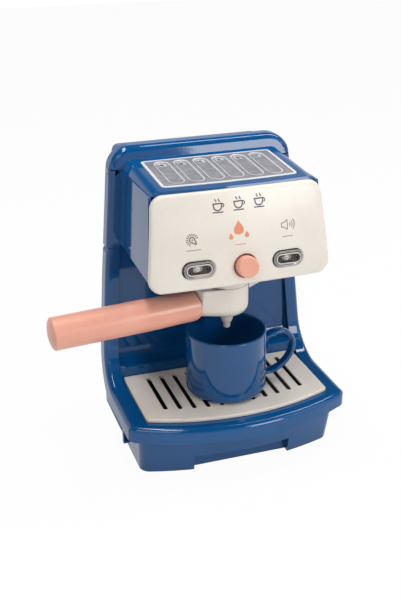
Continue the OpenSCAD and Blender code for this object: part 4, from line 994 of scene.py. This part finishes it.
def makeMug():
    m = mug
    low, high, radius = m["foot"], m["foot"] + m["height"], m["radius"]
    half = m["wall"] / 2
    inner = radius - m["wall"]
    foot = [(0, low + 1.2), (radius - 9, low + 1.2), (radius - 8.4, low + 0.9), (radius - 8, low + 0.2),
            (radius - 7.6, low)]
    heel = m["footRadius"]
    profile = np.concatenate([foot, arc(radius - heel, low + heel, heel, -90, 0, 12),
                              [(radius, low + 20), (radius, high - 12), (radius, high - 3)],
                              arc(radius - half, high - half, half, 0, 180, 10),
                              [(inner, high - 3), (inner, high - 20), (inner, low + 9)],
                              arc(inner - 4.5, low + 8, 4.5, 0, -90, 10), [(12, low + 3.5), (0, low + 3.5)]])
    body = spin(profile, 160)
    # the handle follows a turned oval; its section is a squared oval, with the sine and cosine to the power
    # 0.75, and swells where it meets the wall
    long, short = m["long"] * m["height"] - m["thick"] / 2, m["short"] * m["height"] - m["thick"] / 2
    turn = np.radians(np.linspace(0, 360, 721))
    lean = math.radians(45)
    out, up = long * np.cos(turn), short * np.sin(turn)
    x = radius + m["ringX"] + out * math.cos(lean) - up * math.sin(lean)
    z = low + 0.48 * m["height"] + out * math.sin(lean) + up * math.cos(lean)
    outside = x > radius - half
    first = int(np.flatnonzero(outside & ~np.roll(outside, 1))[0])
    x, z, outside = np.roll(x[:-1], -first), np.roll(z[:-1], -first), np.roll(outside[:-1], -first)
    x, z = x[outside][::6], z[outside][::6]
    along = np.gradient(np.column_stack([x, z]), axis=0)
    along /= np.linalg.norm(along, axis=1, keepdims=True)
    reach = np.minimum(np.arange(len(x)), np.arange(len(x))[::-1])[:, None]
    swell = 1 + 0.5 * np.exp(-(reach / 2.2) ** 2)
    around = np.linspace(0, 2 * np.pi, 28, endpoint=False)
    across = np.sign(np.cos(around)) * np.abs(np.cos(around)) ** 0.75 * m["thick"] / 2 * swell
    wide = np.sign(np.sin(around)) * np.abs(np.sin(around)) ** 0.75 * m["wide"] / 2 * swell
    rings = np.stack([x[:, None] - along[:, 1:] * across, wide + 0 * across,
                      z[:, None] + along[:, :1] * across], -1)
    points, faces = join(body, tube(rings))
    addPiece("mug", points + (m["x"], m["y"], 0), faces, mugBlue, "mug", ["mug"])


makeMug()
print("mug made")


springs = {"steam": 4.0, "light": 1.5, "sound": 1.5}  # travel of each button, in millimetres


def makeSpring(name):
    # a copy of the CAD coil, on the frame
    node = name + "_spring"
    mesh = nodes[node].data.copy()
    mesh.name = name + "Spring"
    mesh.materials.clear()
    mesh.materials.append(springSteel)
    piece = bpy.data.objects.new(name + "Spring", mesh)
    bpy.context.scene.collection.objects.link(piece)
    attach(piece, "frame")
    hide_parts(node)
    inward = onPanel(0, 0, -1) - onPanel(0, 0, 0)
    name + "_press"
    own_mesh(piece)


for name, travel in springs.items():
    makeSpring(name)
print("springs made")


# the pieces that keep their CAD mesh
finishes = {"base_plate": blackPlastic, "battery_door": blackPlastic, "battery_door_screw": steel,
            "battery_cells": copperJacket, "battery_contacts": springSteel, "drip_tray": blackPlastic,
            "handle_screw": steel, "pump_piston": steel, "pump_cylinder": creamPlastic,
            "intake_tube": lidClear, "outlet_tube": lidClear, "circuit_board": greenBoard,
            "touch_switches": blackPlastic, "button_leds": lampWhite, "speaker": blackPlastic,
            "water_tank": lidClear, "case_screws": steel}
for name, finish in finishes.items():
    for slot in nodes[name].material_slots:
        slot.material = finish
    if not nodes[name].material_slots:
        nodes[name].data.materials.append(finish)
print("nodes finished")


# floorGlow is the floor's own light for the camera and floorGloss for gloss; fill is the sky as a light, and
# gloss sees ceiling, and frontGlow and backGlow below the horizon, whose ends are shares of straight up
studio = {"floorGlow": 0.96, "floorGloss": 0.6, "fill": 0.34, "ceiling": 0.05, "frontGlow": 0.65,
          "backGlow": 0.76, "horizon": (0.28, 0.48)}
lamps = {"keyLight": {"place": (-0.7, -0.9, 1.1), "aim": (0, 0, 0.12), "size": (0.7, 0.7), "power": 3.6},
         "fillLight": {"place": (1.0, -0.7, 0.8), "aim": (0, 0, 0.12), "size": (0.6, 0.9), "power": 1.6},
         "frontLight": {"place": (0.54, -1.05, 0.52), "aim": (0, 0, 0.2), "size": (0.4, 0.46), "power": 4.6},
         "leftWindow": {"place": (-0.18, 0.1, 1.1), "aim": (-0.18, 0.1, 0), "size": (0.16, 0.85), "power": 5},
         "rightWindow": {"place": (0.6, 0.12, 1.1), "aim": (0.4, 0.12, 0), "size": (0.16, 0.85), "power": 5}}


def softLight(name, place, aim, size, power):
    data = bpy.data.lights.new(name, "AREA")
    data.shape = "RECTANGLE"
    data.size, data.size_y = size
    data.energy = power
    lamp = bpy.data.objects.new(name, data)
    bpy.context.scene.collection.objects.link(lamp)
    away = Vector(place) - Vector(aim)
    lamp.matrix_world = Matrix.Translation(place) @ away.to_track_quat("Z", "Y").to_matrix().to_4x4()


def makeFloor():
    mesh = bpy.data.meshes.new("floor")
    mesh.from_pydata([(-3, -3, 0), (3, -3, 0), (3, 3, 0), (-3, 3, 0)], [], [(0, 1, 2, 3)])
    floor = bpy.data.objects.new("floor", mesh)
    bpy.context.scene.collection.objects.link(floor)
    finish = Finish("paleFloor")
    grain = finish.noise(0.05)
    finish.set(Base_Color=finish.blend(grain, (0.82, 0.82, 0.82, 1), (0.86, 0.86, 0.86, 1)), Roughness=0.7)
    glow = finish.node("ShaderNodeEmission", {}, {"Color": (1, 1, 1, 1), "Strength": 1.0})
    seen = finish.seenBy("Is Camera Ray", "Is Transmission Ray") * studio["floorGlow"]
    seen = seen + finish.seenBy("Is Glossy Ray") * studio["floorGloss"]
    mixed = finish.node("ShaderNodeMixShader", {}, {0: seen, 1: finish.shader.outputs[0],
                                                    2: glow.outputs[0]})
    finish.feed(finish.tree.nodes["Material Output"].inputs["Surface"], mixed.outputs[0])
    mesh.materials.append(finish.material)


def makeWorld():
    # white for the camera and clear pieces; gloss sees a white horizon at the back under a dim ceiling
    sky = Finish("studio", "worlds")
    parts = sky.node("ShaderNodeSeparateXYZ", {}, {"Vector": sky.place})
    low = 1 - sky.ramp(parts.outputs["Z"], *studio["horizon"])
    back = sky.ramp(parts.outputs["Y"], -0.4, 0.4)
    glow = back * (studio["backGlow"] - studio["frontGlow"]) + studio["frontGlow"]
    gloss = low * glow + studio["ceiling"]
    level = sky.seenBy("Is Glossy Ray") * (gloss - studio["fill"]) + studio["fill"]
    seen = sky.seenBy("Is Camera Ray", "Is Transmission Ray")
    sky.feed(sky.shader.inputs["Strength"], level + seen * (1 - level))
    sky.shader.inputs["Color"].default_value = (1, 1, 1, 1)
    bpy.context.scene.world = sky.material


# place in metres, angles in degrees, and the focal length in pixels of a picture that is 601 high
view = {"place": (-0.252922, -0.706987, 0.465646), "azimuth": -18.386, "elevation": 24.205, "roll": -0.519,
        "focal": 961.774, "pixels": 601}


def makeCamera():
    azimuth, elevation, roll = (math.radians(view[key]) for key in ("azimuth", "elevation", "roll"))
    level = math.cos(elevation)
    back = Vector((math.sin(azimuth) * level, -math.cos(azimuth) * level, math.sin(elevation)))
    right = (-back).cross(Vector((0, 0, 1))).normalized()
    up = right.cross(-back)
    across = right * math.cos(roll) + up * math.sin(roll)
    upright = up * math.cos(roll) - right * math.sin(roll)
    data = bpy.data.cameras.new("camera")
    data.sensor_width = 36
    data.lens = view["focal"] * data.sensor_width / view["pixels"]
    data.clip_start = 0.01
    camera = bpy.data.objects.new("camera", data)
    bpy.context.scene.collection.objects.link(camera)
    turn = Matrix((across, upright, back)).transposed().to_4x4()
    camera.matrix_world = Matrix.Translation(view["place"]) @ turn
    bpy.context.scene.camera = camera


makeFloor()
makeWorld()
makeCamera()
for name, lamp in lamps.items():
    softLight(name, lamp["place"], lamp["aim"], lamp["size"], lamp["power"])
bpy.context.scene.view_settings.view_transform = "Standard"
print("studio made")
